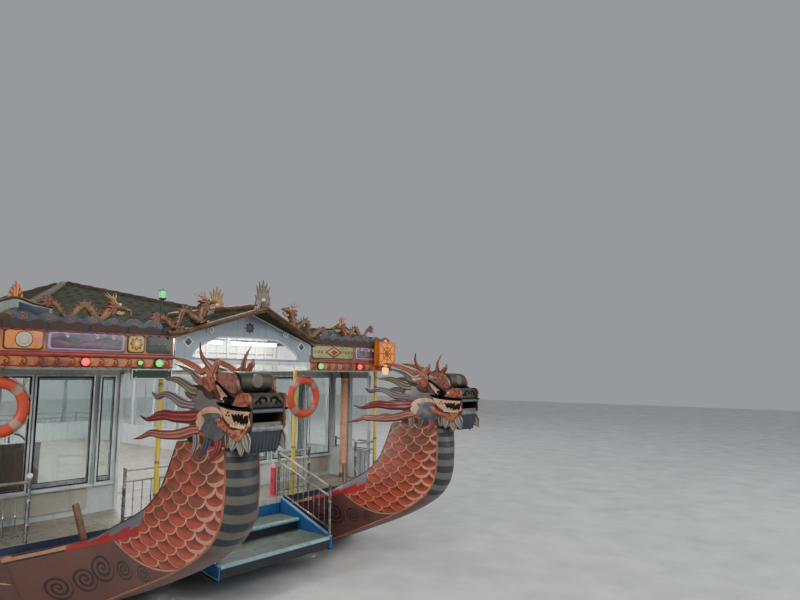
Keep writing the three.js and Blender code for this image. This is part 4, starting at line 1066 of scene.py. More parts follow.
def frieze(length, kinds):
    """A stretch of frieze from the start of its line towards plus x, facing -y: a ground board, a band
    of running scrolls with a scalloped foot, a round red moulding, and panels of the given widths."""
    ground = scalloped(length, max(2, round(length / 0.13)), FRIEZE_LOW, 0.012, math.pi / 0.13)
    parts = prism(ground, "y", 0.0, 0.04, F["frieze_ground"])
    rail = np.array([(0, 0, 2.286), (length, 0, 2.286)], float)
    parts += sweep(rail, circle(12) * [0.016, 0.034], paint=F["red_band"])
    parts += tube([(0, -0.004, 2.144), (length, -0.004, 2.144)], 0.008, 8, F["red_band"])
    waves = max(1, int(length / 0.17))
    tail = spline([(-0.045, -0.01, -0.03), (-0.01, -0.01, -0.046), (0.04, -0.01, -0.035),
                   (0.085, -0.01, 0.0)], 8)
    scroll = spiral(0.048, 1.35, 0.009, F["scroll"], 20)
    scroll += tube(tail, np.linspace(0.008, 0.003, 8), 6, F["scroll"], (0, 1, 0))
    for k in range(waves):
        parts += moved(scroll, (length * (k + 0.5) / waves, 0.008, 2.2))
    for kind, start, end in kinds:
        centre = ((start + end) / 2, 0, (FRIEZE_MIDDLE + FRIEZE_TOP) / 2)
        parts += moved(panel(kind, end - start - 0.02), centre)
    steps = max(2, round(length / 0.12))
    valance = scalloped(length, steps, FRIEZE_TOP - 0.012, -0.022, steps * math.pi / length)
    return parts + prism(valance, "y", -0.022, 0.0, F["red_band"])


def repeated(length, start=0.05):
    """Panels in a fixed order until a stretch is full."""
    order = [("moon", 0.44), ("vista", 1.0), ("flower", 0.26), ("diamond", 1.0), ("flower", 0.26),
             ("vista", 1.0)]
    kinds, at, k = [], start, 0
    while at + order[k % 6][1] < length - 0.03:
        kind, width = order[k % 6]
        kinds.append((kind, at, at + width))
        at, k = at + width, k + 1
    spare = (length - 0.05 - at) / max(1, k)
    return [(kind, a + i * spare, b + (i + 1) * spare) for i, (kind, a, b) in enumerate(kinds)]


class BOAT_OT_frieze(Operator):
    """Carves and paints the frieze round the cabin."""
    bl_idname = "boat.frieze"
    bl_label = "Frieze"

    def execute(self, context):
        def board(name, node, length, kinds, place, turn=None):
            patches = moved(frieze(length, kinds), place, turn=turn)
            build(name, FRIEZE_PAINTS, patches, "frieze_paint", node)

        starboard = [("moon", 0.03, 0.49), ("vista", 0.5, 1.51), ("flower", 1.51, 1.78),
                     ("plain", 1.78, 2.18)]
        port = [("diamond", 0.03, 1.1), ("vista", 1.12, 1.74), ("moon", 1.75, 2.17)]
        for side, start, kinds in (("starboard", -3.5, starboard), ("port", 1.3003, port)):
            board(f"{side}_front_panels", f"{side}_front_frieze", 2.2, kinds, (FRIEZE_FACE, start, 0),
                  FACE_FRONT)
        run = moved(frieze(13.0, repeated(13.0)), (-14.66, -3.5, 0))
        build_pair("{}_side_panels", FRIEZE_PAINTS, run, "frieze_paint", "{}_side_frieze", drawn="starboard")
        board("aft_panels", "aft_frieze", 7.0, repeated(7.0), (-14.7, 3.5, 0), FACE_AFT)
        return {"FINISHED"}


# Porch

GABLE_FACE = -1.609
POST_LINE = -1.955


def gable_under(y):
    return PORCH_APEX - 0.051 - (PORCH_APEX - PORCH_EAVE) * abs(y) / PORCH_HALF


def arch(half, top):
    """51 points round an arch, given its port half from the foot up and its top's height."""
    whole = np.array([(-y, z) for y, z in half] + [(0, top)] + half[::-1])
    at = np.linspace(0, len(whole) - 1, 51)
    return np.stack([np.interp(at, range(len(whole)), column) for column in whole.T], -1)


def gable():
    """The gable board with its arch, the pale lines round it and the painted ornaments."""
    outer = arch([(1.28, 2.262), (1.28, 2.42)] + [(y, gable_under(y)) for y in (1.28, 0.9, 0.45)],
                 gable_under(0))
    inner = arch([(1.01, 2.3), (0.975, 2.37), (0.9, 2.45), (0.73, 2.535), (0.56, 2.61)], 2.625)
    board = frame_board(outer, inner, "x", -1.645, GABLE_FACE)
    for line, thick in ((inner, 0.012), (outer[5:46] + [0, -0.03], 0.009)):
        board += tube(stand(line, "x", -1.607), thick, 8, 1, (1, 0, 0))
    for y in (-1.08, 1.08):
        for size, index, low in ((0.085, 1, 0.0), (0.062, 2, 0.006)):
            tag = plate([(-size, 0), (0, size), (size, 0), (0, -size)], index, -low, -0.007, 1, 0.004)
            board += moved(tag, (GABLE_FACE, y, 2.52), turn=FACE_FRONT)
    for y in (-0.72, 0.72):
        board += moved(spiral(0.06, 1.6, 0.012, 1), (GABLE_FACE + 0.012, y, 2.70), turn=FACE_FRONT)
    board += moved(plate(petals(8, 0.045, 0.085), 2, 0, -0.008, 1, 0.004), (GABLE_FACE, 0, 2.78),
                   turn=FACE_FRONT)
    build("porch_gable", "gable gable_line navy_paint", board, "porch_panel", "porch_frame")


def post(y, top):
    """A painted tube with a collar at its foot and head and three bands."""
    parts = [(20, 0, [(0.05, 0.001), (0.05, 0.012), (0.038, 0.02), (0.034, 0.06), (0.034, top - 0.06),
                      (0.04, top - 0.04), (0.04, top - 0.001)])]
    parts += [(20, 1, [(0.0342, z - 0.02), (0.038, z - 0.016), (0.038, z + 0.016), (0.0342, z + 0.02)])
              for z in (0.35, 0.8, top - 0.3)]
    return turned((POST_LINE, y, 0), "z", *parts)


class BOAT_OT_porch(Operator):
    """Makes the gable board with its arch, the beam, the lit niche behind it and the two posts."""
    bl_idname = "boat.porch"
    bl_label = "Porch"

    def execute(self, context):
        gable()
        beam = block((-1.655, -1.29, 2.2), (-1.605, 1.29, 2.262))
        for low in (-1.3, 1.24):
            beam += block((-1.985, low, 2.13), (-1.61, low + 0.06, 2.262))
        beam += block((-1.60, -1.28, 2.222), (-1.596, 1.28, 2.24), 1)
        build("porch_beam", "beam_white gable_line", beam, "porch_panel", "porch_frame", bevel=0.004)
        build("porch_posts", "yellow_post stainless", post(-1.27, 2.2) + post(1.27, 2.2), "yellow_post",
              "porch_frame")
        for side, y in (("starboard", -3.39), ("port", 3.39)):
            build(f"{side}_yellow_post", "yellow_post stainless", post(y, 2.119), "yellow_post",
                  f"{side}_corner_post")
        lamp = []
        for y in (-0.55, 0.55):
            lamp += bar((-2.2, y - 0.45, 2.56), (-2.2, y + 0.45, 2.56), 0.02, 10)
            lamp += block((-2.24, y - 0.48, 2.585), (-2.16, y + 0.48, 2.62), 1)
        build("porch_lamps", "lamp_white beam_white", lamp, "porch_panel")
        rods = [((-1.24, z), (1.24, z)) for z in (2.30, 2.42, 2.54)]
        rods += [((y, 2.17), (y, 2.66)) for y in np.linspace(-1.2, 1.2, 13)]
        lattice = [p for a, b in rods for p in bar((-2.46, *a), (-2.46, *b), 0.012, 6)]
        build("porch_lattice", "cream", lattice, "porch_panel")
        return {"FINISHED"}


# Roof dragons

# Locks of a dragon's head: finish, thickness, and rows of x and z from its nose end and half width.
JAW_LOCK = [(0, -0.055, 0.03), (-0.07, -0.075, 0.026), (-0.14, -0.055, 0.012)]
ANTLERS = (
    (0.013, [(0, 0.05, 0.016), (0.04, 0.12, 0.013), (0.1, 0.15, 0.009), (0.15, 0.2, 0.002)]),
    (0.01, [(0.03, 0.1, 0.011), (0.015, 0.16, 0.008), (0.03, 0.2, 0.002)]))


def dragon(length, height):
    """A roof dragon along x with its head at the low end, about the middle of its foot. Its body is a
    swept tube through two waves, thinner towards the tail; fins, legs, mane, antlers and a flamed tail
    are flat tapered locks."""
    u = np.linspace(0, 1, 73)
    z = height * (0.48 + 0.28 * np.cos(u * TURN * 2))
    radius = height * 0.19 * (1 - 0.6 * u) * (1 + 0.05 * np.cos(u * TURN * 24))
    body = np.stack([(u - 0.5) * length, 0 * u, z], -1)
    parts = sweep(body, circle(14), np.column_stack([radius, radius * 0.8]), (0, 1, 0))
    ahead = np.gradient(body, axis=0)
    ahead /= np.linalg.norm(ahead, axis=1)[:, None]
    normal = np.stack([-ahead[:, 2], 0 * u, ahead[:, 0]], -1)
    for k in range(3, 70, 3):
        root, up = body[k], normal[k] * radius[k]
        tip = root + up * 1.75 + ahead[k] * 0.03
        rows = ((root + up * 0.8, 0.018), (root + up * 1.3, 0.014), (tip, 0.002))
        parts += lock([(place[0], place[2], half) for place, half in rows], 1, 0.006, 0, 2, 6)
    for k, side in ((16, -1), (26, 1), (50, -1), (58, 1)):
        root, out = body[k], side * 0.055
        thigh = [root, root + [0.02, side * 0.05, -0.05], (root[0] - 0.03, out, 0.05),
                 (root[0] - 0.06, out, 0.012)]
        parts += tube(spline(thigh, 10), np.linspace(radius[k] * 0.6, 0.014, 10), 8, 0, (0, 1, 0))
        for toe in (-0.03, 0.0, 0.03):
            foot = [(root[0] - 0.05, out + toe * 0.4, 0.016), (root[0] - 0.09, out + toe, 0.022),
                    (root[0] - 0.12, out + toe, 0.004)]
            parts += tube(foot, [0.010, 0.008, 0.002], 6, 2)
    x, _, z = body[-1]
    for spread, long in ((-0.9, 0.6), (-0.4, 0.9), (0.1, 1.0), (0.55, 0.85), (1.0, 0.6)):
        right, up = long * 0.16 * math.cos(spread), long * 0.16 * math.sin(spread)
        flame = [(x - 0.02, z, 0.02), (x + right / 2, z + up / 2 + 0.015, 0.028), (x + right, z + up, 0.002)]
        parts += lock(flame, 1, 0.01, 0, 4, 8)
    x, _, z = body[0]
    skull = np.array([(0.05, 0.0, 0.058), (0.0, 0.012, 0.072), (-0.05, 0.02, 0.066), (-0.1, 0.008, 0.045),
                      (-0.15, -0.004, 0.034), (-0.175, -0.008, 0.012)]) * (height / 0.36)
    line = spline(skull, 18)
    path = stand(line[:, :2] + [x, z], "y", 0)
    parts += sweep(path, circle(12), line[:, 2:] * [0.85, 0.8], (0, 1, 0))
    parts += lock(np.array(JAW_LOCK) + [x, z, 0], 2, 0.03, 0, 4, 8)
    for side in (-1, 1):
        eye = lathe([(0.0, 0.016), (0.012, 0.012), (0.017, 0.0)], "y", 10, 3)
        parts += moved(eye, (x - 0.045, side * 0.045, z + 0.045), turn=FLIP if side < 0 else None)
        for thick, rows in ANTLERS:
            parts += lock(np.array(rows) + [x, z, 0], 2, thick, side * 0.035, 4, 8)
        whisker = [(x - 0.15, side * 0.02, z - 0.01), (x - 0.2, side * 0.06, z - 0.03),
                   (x - 0.17, side * 0.08, z - 0.1)]
        parts += tube(spline(whisker, 8), np.linspace(0.007, 0.002, 8), 6, 2, (0, 1, 0))
        for dx, dz in ((0.13, 0.06), (0.15, 0.0), (0.12, -0.06), (0.07, -0.11)):
            mane = [(x + 0.01, z + dz * 0.3, 0.024), (x + dx * 0.6, z + dz * 0.8 + 0.01, 0.02),
                    (x + dx, z + dz, 0.002)]
            parts += lock(mane, 1, 0.012, side * 0.045, 4, 8)
    return parts


def flame_carving():
    """A flame of seven tongues on a board, with two scrolls and a pearl, facing -y."""
    parts = []
    for start, tip, tall, half in ((0, 0, 0.457, 0.05), (0.05, 0.075, 0.42, 0.04), (0.09, 0.135, 0.36, 0.034),
                                   (0.12, 0.15, 0.2, 0.03)):
        for side in (-1, 1) if start else (1,):
            root = side * start
            parts += lock([(root * 0.7, 0.03, half * 0.8), (root, tall * 0.35, half),
                           (root * 0.95, tall * 0.65, half * 0.75), (side * tip, tall, 0.003)], 0, 0.024, 0,
                           6, 14)
    for side in (-1, 1):
        parts += moved(spiral(0.05, 1.5, 0.014, 1, level=-0.02), (side * 0.09, 0, 0.05))
    pearl = lathe([(0.0, 0.03), (0.018, 0.026), (0.03, 0.012), (0.033, 0.0)], "y", 16, 2)
    parts += moved(pearl, (0, -0.02, 0.13), turn=FLIP)
    foot = [(-0.16, -0.07), (0.16, -0.07), (0.13, 0.02), (0.06, 0.05), (-0.06, 0.05), (-0.13, 0.02)]
    return parts + prism(foot, "y", -0.028, 0.028, 1)


class BOAT_OT_ornaments(Operator):
    """Sets the four roof dragons, and a flame with its pearl at each end of the porch's ridge."""
    bl_idname = "boat.ornaments"
    bl_label = "Roof ornaments"

    def execute(self, context):
        lean = math.atan(PORCH_SLOPE)
        tilted = moved(moved(dragon(0.78, 0.36), turn=FACE_FRONT),
                       (-1.6, 1.08, PORCH_APEX - 1.08 * PORCH_SLOPE),
                       turn=Matrix.Rotation(-lean, 3, "X"))
        level = moved(dragon(0.8, 0.33), (-1.72, 2.52, 2.68), turn=FACE_FRONT)
        for side in ("port", "starboard"):
            for place, dressed, node in (("slope", tilted, "porch"), ("corner", level, "eave")):
                build(f"{side}_{place}_dragon", "ornament fin_red ornament_ochre cream",
                      moved(dressed, mirror=side == "starboard"), "ornament", f"{side}_{node}_dragon")
        for name, x, colour, *hides in (("porch_flame_carving", -1.305, "olive", "porch_flame"),
                                        ("ridge_flame_carving", -2.55, "ornament_ochre")):
            flame = moved(flame_carving(), (x, 0, PORCH_APEX - 0.01), turn=FACE_FRONT)
            build(name, colour + " carved_grey pearl", flame, "ornament", *hides)
        return {"FINISHED"}


# Hulls, deck and stairs

# Columns: x, top inner y, top outer y, keel z, bottom inner y, bottom outer y.
HULL_STATIONS = np.array([
    [-16.3, 1.35, 3.0, -0.56, 1.55, 2.7], [-14.5, 1.18, 3.25, -1.05, 1.38, 2.95],
    [-12.0, 1.1, 3.35, -1.35, 1.25, 3.1], [-4.8, 1.1, 3.35, -1.35, 1.25, 3.1],
    [-3.2, 1.1, 3.3, -1.22, 1.27, 3.0], [-2.0, 1.12, 3.17, -0.95, 1.3, 2.8]])


def hull_line(share, outer=True):
    """A line along a hull's side at a share of the way down from its top to its bottom edge."""
    top, low = (2, 5) if outer else (1, 4)
    s = HULL_STATIONS
    y = s[:, top] + (s[:, low] - s[:, top]) * share + (0.014 if outer else -0.014)
    z = -0.1 + (s[:, 3] + 0.1) * share
    at = np.linspace(0, 1, 60) * 5
    return np.stack([np.interp(at, range(6), column) for column in (s[:, 0], y, z)], -1)


def point_on(line, x):
    return [np.interp(x, line[:, 0], column) for column in line.T]


def dress(finish_name, *nodes):
    """Gives CAD nodes a finish on their own object's slots; their meshes stay as they are."""
    for node in nodes:
        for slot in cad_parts[node].material_slots:
            slot.link = "OBJECT"
            slot.material = PAINTS[finish_name]


class BOAT_OT_hulls(Operator):
    """Adds the rubbing strakes, pale lines, side scrolls and rubber pads to the hulls."""
    bl_idname = "boat.hulls"
    bl_label = "Hulls"

    def execute(self, context):
        parts = []
        for share, thick, index in ((0.05, 0.05, 0), (0.42, 0.026, 1)):
            for outer in (True, False):
                line = hull_line(share, outer)
                slim = np.clip((line[-1, 0] - line[:, :1]) / 0.4, 0.1, 1) * [1, 1]
                parts += sweep(line, circle(10) * [0.032, thick], slim, paint=index)
        crest = spline([(-0.11, 0.006, -0.07), (0.02, 0.006, -0.12), (0.2, 0.006, -0.09),
                        (0.4, 0.006, 0.02)], 14)
        for k, x in enumerate(np.arange(-15.6, -2.4, 0.62)):
            index = 2 + k % 2
            wave = spiral(0.11, 1.6, 0.014, index, 26, 0.006)
            wave += tube(crest, np.linspace(0.014, 0.004, 14), 6, index, (0, 1, 0))
            parts += moved(wave, point_on(hull_line(0.24), x))
        for x in np.arange(-15.8, -2.2, 1.7):
            parts += moved(block((-0.05, 0, -0.05), (0.05, 0.045, 0.05), 4), point_on(hull_line(0.05), x))
        build_pair("{}_hull_trim", "strake pale_line scroll_dark scroll_rust rubber", parts, "hull_paint")
        dress("hull", "port_hull", "starboard_hull")
        dress("deck", "deck")
        return {"FINISHED"}


STAIR_HALF = 1.041
STAIR_TOP, STAIR_FOOT = -1.9547, -0.725
# Columns: back edge, front edge, top.
TREADS = ((STAIR_TOP, -1.443, -0.264), (-1.503, STAIR_FOOT, -0.447))
DECK_STERN, DECK_RIM = -15.6, 3.492


def studs(places, sign, profile, sides, paint):
    """Small turned heads that face away from y = 0."""
    head = lathe(profile, "y", sides, paint)
    return [p for place in places for p in moved(head, place, turn=FLIP if sign < 0 else None)]


def steps():
    """Two treads with nosings and risers between two side webs with flanges and bolts."""
    parts = []
    wide = STAIR_HALF - 0.052
    for back, front, top in TREADS:
        lip = front - 0.03
        parts += block((back, -wide, top - 0.012), (lip, wide, top - 0.001))
        parts += block((back, -wide, top - 0.06), (lip, wide, top - 0.0125), 2)
        parts += tube([(lip, -wide, top - 0.03), (lip, wide, top - 0.03)], 0.03, 16, 1)
        parts += block((front - 0.06, -wide, top - 0.19), (front - 0.045, wide, top - 0.06), 3)
        for y in np.linspace(-0.8, 0.8, 5):
            parts += block((back + 0.01, y - 0.015, top - 0.1), (front - 0.07, y + 0.015, top - 0.06), 2)
    parts += block((-1.9535, -wide, -0.263), (-1.9465, wide, -0.093), 4)
    web = [(STAIR_TOP, 0.0), (STAIR_TOP, -0.48), (STAIR_FOOT, -0.637), (STAIR_FOOT, -0.447)]
    for sign in (-1, 1):
        parts += prism(web, "y", *sorted(sign * (STAIR_HALF - inset) for inset in (0.014, 0.034)), 4)
        y = sign * (STAIR_HALF - 0.025)
        for start, end, index in ((web[0], web[3], 5), (web[1], web[2], 6)):
            path = [(start[0] + 0.01, y, start[1] - 0.004), (end[0], y, end[1] - 0.004)]
            parts += sweep(path, corners((-0.027, -0.006), (0.027, 0.006)), paint=index)
        y = sign * STAIR_HALF
        parts += tube([(-1.93, y, -0.46), (-0.74, y, -0.612)], 0.007, 6, 1)
        bolts = [(x, y - sign * 0.014, -0.24 - (x - STAIR_TOP) * 0.25) for x in np.linspace(-1.85, -0.8, 6)]
        parts += studs(bolts, sign, [(0.0, 0.012), (0.010, 0.010), (0.012, 0.0)], 6, 6)
    build("boarding_steps", "tread_plate nosing stair_dark riser stair_blue stair_light black_steel", parts,
          "stair_paint", "bow_stairs", bevel=0.002)


def deck_edge():
    """Plates and bolts round the deck's edge."""
    edge = block((-1.956, -1.05, -0.092), (-1.945, 1.05, 0.004))
    for low, high in ((-3.485, -1.05), (1.05, 3.485)):
        edge += block((-1.955, low, -0.085), (-1.94, high, 0.004), 2)
    for sign in (-1, 1):
        low, high = sorted((sign * 3.478, sign * DECK_RIM))
        edge += block((DECK_STERN, low, -0.085), (-1.95, high, 0.004), 2)
        bolts = [(x, sign * DECK_RIM, -0.04) for x in np.arange(-15.2, -2.2, 1.3)]
        edge += studs(bolts, sign, [(0.0, 0.006), (0.012, 0.005), (0.014, 0)], 8, 1)
    edge += block((DECK_STERN - 0.007, -3.485, -0.085), (DECK_STERN + 0.005, 3.485, 0.004))
    build("deck_edge", "deck_edge black_steel stair_dark", edge, "deck_plate", bevel=0.003)


class BOAT_OT_stairs(Operator):
    """Makes the boarding steps between the bows and the deck's edge above them."""
    bl_idname = "boat.stairs"
    bl_label = "Boarding steps"

    def execute(self, context):
        steps()
        deck_edge()
        return {"FINISHED"}


# Railings

RAIL_X = -2.02
DECK_SIDE = 3.44
RAIL_POST = [(0.036, 0.0), (0.036, 0.008), (0.025, 0.012), (0.025, 0.2), (0.029, 0.21), (0.025, 0.22),
             (0.025, 0.48),
             (0.031, 0.495), (0.025, 0.51), (0.025, 0.735), (0.031, 0.745), (0.028, 0.764)]
BALUSTER = [(0.0075, 0.09), (0.0075, 0.315), (0.017, 0.332), (0.0075, 0.35), (0.0075, 0.574)]


def rail_run(start, end, spacing=0.13, posts=(True, True), ball=False):
    """A straight run: posts with caps, a top pair of bars, a low bar, balusters with a bead at
    mid-height, and a ball on the first post where one is asked for."""
    start, end = np.asarray(start, float), np.asarray(end, float)
    parts = []
    for lift, radius, index in ((0.724, 0.019, 1), (0.574, 0.015, 1), (0.09, 0.013, 0)):
        parts += tube(np.stack([start, end]) + [0, 0, lift], radius, 10, index)
    for wanted, place in zip(posts, (start, end)):
        if wanted:
            parts += lathe(RAIL_POST, "z", 12, 0, place)
    if ball:
        turn = np.linspace(-1.2, math.pi / 2, 9)
        parts += lathe(np.stack([0.036 * np.cos(turn), 0.796 + 0.036 * np.sin(turn)], -1), "z", 14, 2, start)
    count = max(1, round(np.linalg.norm(end - start) / spacing))
    for k in range(1, count):
        parts += lathe(BALUSTER, "z", 6, 3, start + (end - start) * k / count)
    return parts


class BOAT_OT_rails(Operator):
    """Makes the railings of the steps, the fore deck and the aft deck."""
    bl_idname = "boat.rails"
    bl_label = "Railings"

    def execute(self, context):
        stair_y = STAIR_HALF - 0.025
        slope = 0.447 / (STAIR_FOOT - STAIR_TOP)
        foot = (-0.765, stair_y, (-0.788 - STAIR_TOP) * -slope + 0.0003)
        aft = DECK_STERN + 0.04
        corner, end = (RAIL_X, DECK_SIDE, 0), (aft, DECK_SIDE, 0)
        runs = {
            "stair": rail_run((RAIL_X, stair_y, 0), foot),
            "front": rail_run((RAIL_X, stair_y + 0.03, 0), (RAIL_X, 1.7, 0), posts=(False, True)),
            "corner": rail_run((RAIL_X, 2.91, 0), corner, ball=True)
            + rail_run(corner, (-3.1, DECK_SIDE, 0), posts=(False, True)),
            "aft": rail_run((-14.06, DECK_SIDE, 0), end, 0.16)
            + rail_run(end, (aft, 0.7, 0), 0.16, (False, True)),
        }
        for kind, parts in runs.items():
            build_pair("{}_" + kind + "_railing", "stainless rail_pale white_ball baluster", parts,
                       "stainless", "{}_" + kind + "_rail")
        return {"FINISHED"}


# Cabin

SILL, WINDOW_TOP = 0.45, 2.0
FRONT_WALL, AFT_WALL, SIDE_WALL = -3.1, -14.0, 3.33
FRONT_WINDOWS = ((1.4, 1.59), (1.73, 2.5), (2.59, 3.2))
AFT_WINDOWS = ((0.56, 1.4), (1.5, 2.34), (2.44, 3.18))
TRIM_PAINTS = "window_frame gasket wall_panel"
LEAF_PAINTS = "window_frame glass gasket stainless door_panel"


def side_windows():
    start = FRONT_WALL - 0.18
    pitch = (start - AFT_WALL - 0.13) / 9
    saloon = [(start - (i + 1) * pitch + 0.09, start - i * pitch) for i in range(9)]
    return saloon + [(-3.05, -2.64), (-2.55, -2.07)]


def window_trim(a, b, low, hung=False):
    """A window's surround on a wall that faces -y: a rounded outer frame, a black gasket, a sill with
    a drip edge and, where the window slides, a middle stile with its pull."""
    def ring(grow, front, back, index):
        outline = (a, low), (b, WINDOW_TOP)
        return frame_board(corners(*outline, grow), corners(*outline, -0.012), "y", front, back, index)

    parts = ring(0.035, -0.018, -0.0005, 0) + ring(0.004, -0.021, -0.018, 1)
    parts += block((a - 0.05, -0.045, low - 0.06), (b + 0.05, 0.0, low - 0.036))
    if hung:
        middle = (a + b) / 2
        parts += block((middle - 0.018, -0.014, low), (middle + 0.018, -0.0005, WINDOW_TOP))
        parts += block((middle - 0.026, -0.024, low + 0.55), (middle - 0.014, -0.012, low + 0.72), 1)
    return parts


def window_row(spans, low):
    """The trim of windows in an end wall, the same on both sides of the middle."""
    return [p for sign in (-1, 1) for a, b in spans for p in window_trim(*sorted((sign * a, sign * b)), low)]


def window_trims():
    """All windows' surrounds, the entrance's surround and the panels under the windows."""
    front = window_row(FRONT_WINDOWS, SILL)
    for low, high, foot, top in ((-1.31, -1.265, 0.0, 2.08), (1.265, 1.31, 0.0, 2.08),
                                 (-1.31, 1.31, 2.04, 2.09)):
        front += block((low, -0.02, foot), (high, 0.0, top))
    for side in (1, -1):
        front += block((side * 1.72, -0.012, 0.08), (side * 3.2, -0.0005, 0.36), 2)
    front = moved(front, (FRONT_WALL + 0.0068, 0, 0), turn=FACE_FRONT)
    build("front_window_trim", TRIM_PAINTS, front, "wall_frame", bevel=0.003)
    side = []
    for a, b in side_windows():
        side += window_trim(a, b, SILL + 0.1, hung=b < -3.06)
        side += block((a, -0.010, 0.1), (b, -0.0005, 0.44), 2)
    side = moved(side, (0, -SIDE_WALL - 0.0068, 0))
    build_pair("{}_window_trim", TRIM_PAINTS, side, "wall_frame", drawn="starboard", bevel=0.003)
    aft = moved(window_row(AFT_WINDOWS, SILL + 0.1), (AFT_WALL, 0, 0), turn=FACE_AFT)
    build("aft_window_trim", TRIM_PAINTS, aft, "wall_frame", bevel=0.003)


def leaf(low, high, sill, top, side):
    """A door leaf that faces x, between two corners: frame, gasket, pane and lower panel."""
    pane = (low[0] + side, sill), (high[0] - side, top)
    parts = frame_board(corners(low, high), corners(*pane), "x", 0, 0.04)
    parts += frame_board(corners(*pane, 0.001), corners(*pane, -0.012), "x", 0.012, 0.028, 2)
    parts += prism(corners(*pane, -0.008), "x", 0.017, 0.023, 1)
    return parts + block((-0.002, low[0] + side, low[1] + 0.09), (0.042, high[0] - side, sill - 0.07), 4)


def doors():
    """The sliding entrance leaves with their pulls and hangers, and the hinged aft door."""
    low, high = 1.275, 2.545
    slider = leaf((low, 0.02), (high, 2.06), 0.5, 1.97, 0.09)
    y = low + 0.045
    for x, out in ((-0.012, -0.032), (0.052, 0.072)):
        slider += tube([(x, y, 0.92), (out, y, 0.95), (out, y, 1.25), (x, y, 1.28)], 0.009, 8, 3, (0, 1, 0))
    for y in (low + 0.05, high - 0.17):
        slider += block((0.012, y, 2.05), (0.028, y + 0.12, 2.1), 3)
    build_pair("{}_sliding_leaf", LEAF_PAINTS, moved(slider, (-3.205, 0, 0)), "wall_frame", "{}_door",
               body="{}_entrance_leaf", bevel=0.002)
    door = moved(leaf((-0.394, 0.02), (0.394, 1.95), 0.95, 1.85, 0.1), (-13.995, 0, 0))
    for x, out in ((-13.999, -14.034), (-13.951, -13.916)):
        door += bar((x, -0.33, 1.0), (out, -0.33, 1.0), 0.01, 8, 3)
        door += bar((out, -0.335, 1.0), (out, -0.22, 1.0), 0.009, 8, 3)
    for z in (0.3, 1.5):
        door += lathe([(0.0096, z + 0.001), (0.0096, z + 0.119)], "z", 12, 3, (-14.01, 0.4, 0))
        door += block((-14.006, 0.33, z + 0.002), (-13.995, 0.4, z + 0.118), 3)
    build("aft_door_leaf", LEAF_PAINTS, door, "wall_frame", "aft_door", body="aft_door_leaf", bevel=0.002)


class BOAT_OT_cabin(Operator):
    """Trims the cabin's walls and windows, glazes them and hangs the doors and inside lamps."""
    bl_idname = "boat.cabin"
    bl_label = "Cabin"

    def execute(self, context):
        dress("wall", "front_wall", "port_wall", "starboard_wall", "aft_wall")
        dress("glass", *(f"{s}_{n}_glass" for s in ("port", "starboard") for n in ("front", "side", "aft")))
        dress("ceiling", "ceiling")
        window_trims()
        doors()
        lamps = []
        for x in np.arange(-13.2, -3.6, 1.6):
            for y in (-1.7, 0, 1.7):
                lamps += bar((x, y - 0.55, 2.075), (x, y + 0.55, 2.075), 0.016)
                lamps += block((x - 0.045, y - 0.6, 2.09), (x + 0.045, y + 0.6, 2.109), 1)
        build("saloon_lamps", "lamp_white beam_white", lamps, "ceiling_panel")
        battens = [p for x in (-3.02, -2.0) for p in block((x - 0.02, -3.28, 2.105), (x + 0.02, 3.28, 2.119))]
        build("fore_deck_battens", "beam_white", battens, "ceiling_panel")
        foot = [(0.0, 0.0), (0.088, 0.0), (0.088, 0.05), (0.076, 0.07), (0.076, 0.09)]
        column = lathe(foot, "z", 24, 1, (-2.63, 3.19, 0.0003)) + turned(
            (-2.63, 3.19, 0), "z",
            (24, 1, [(0.074, 1.98), (0.084, 2.0), (0.078, 2.03), (0.094, 2.09), (0.094, 2.1185),
                     (0.0, 2.1185)]),
            (24, 0, [(0.076, 0.09), (0.08, 0.7), (0.078, 1.4), (0.074, 1.98)]))
        build("fore_deck_columns", "tan verge", both(column), "wall_frame")
        return {"FINISHED"}


# Fittings

def lifebuoy():
    """A ring about x with four pale bands and a rope held at each band."""
    parts = []
    for k in range(8):
        band = k % 2
        half = 0.17 if band else math.pi / 4 - 0.17
        turn = np.linspace(-half, half, 9)[:, None] + k * math.pi / 4
        ring = circle(16) * (1.035 if band else 1.0)
        radius = 0.295 + 0.068 * ring[None, :, 0]
        x = np.broadcast_to(0.05 * ring[None, :, 1], (9, 16))
        parts += sheet(np.stack([x, radius * np.cos(turn), radius * np.sin(turn)], -1), band, wrap=True,
                       caps=True)
    turn = np.linspace(0, TURN, 96, endpoint=False)
    sag = 0.372 + 0.012 * np.abs(np.sin(2 * (turn - math.pi / 4)))
    rope = np.stack([0.0 * turn, sag * np.cos(turn), sag * np.sin(turn)], -1)
    return parts + tube(rope, 0.006, 6, 2, (1, 0, 0), loop=True)


def dome_lamp(index, size=0.045):
    """A round lamp on a back plate, facing -y."""
    turn = np.linspace(0, math.pi / 2, 7)
    glass = np.stack([size * np.cos(turn), 0.02 + size * 1.1 * np.sin(turn)], -1)
    base = [(size * 1.3, 0.0), (size * 1.3, 0.012), (size * 1.05, 0.02)]
    return moved(turned((0, 0, 0), "y", (16, index, glass), (16, 3, base)), turn=FLIP)


def blank_board():
    """The blank number board on its hooks, with a raised border and a screw in each corner."""
    board = prism(rounded(0.596, 0.142, 0.012), "y", 0.0, 0.026)
    board += frame_board(rounded(0.59, 0.136, 0.012), rounded(0.562, 0.108, 0.01), "y", -0.004, 0.0, 1)
    for x in (-0.24, 0.24):
        for z in (-0.045, 0.045):
            board += moved(dome_lamp(1, 0.007), (x, -0.003, z))
        board += bar((x, 0.013, 0.07), (x, 0.013, 0.1), 0.004, 6, 1)
    board = moved(board, (FRIEZE_FACE, -1.6, 2.0512), turn=FACE_FRONT)
    build("blank_board", "board_green board_trim board_trim board_trim", board, "blank_plate", "number_board",
          bevel=0.001)


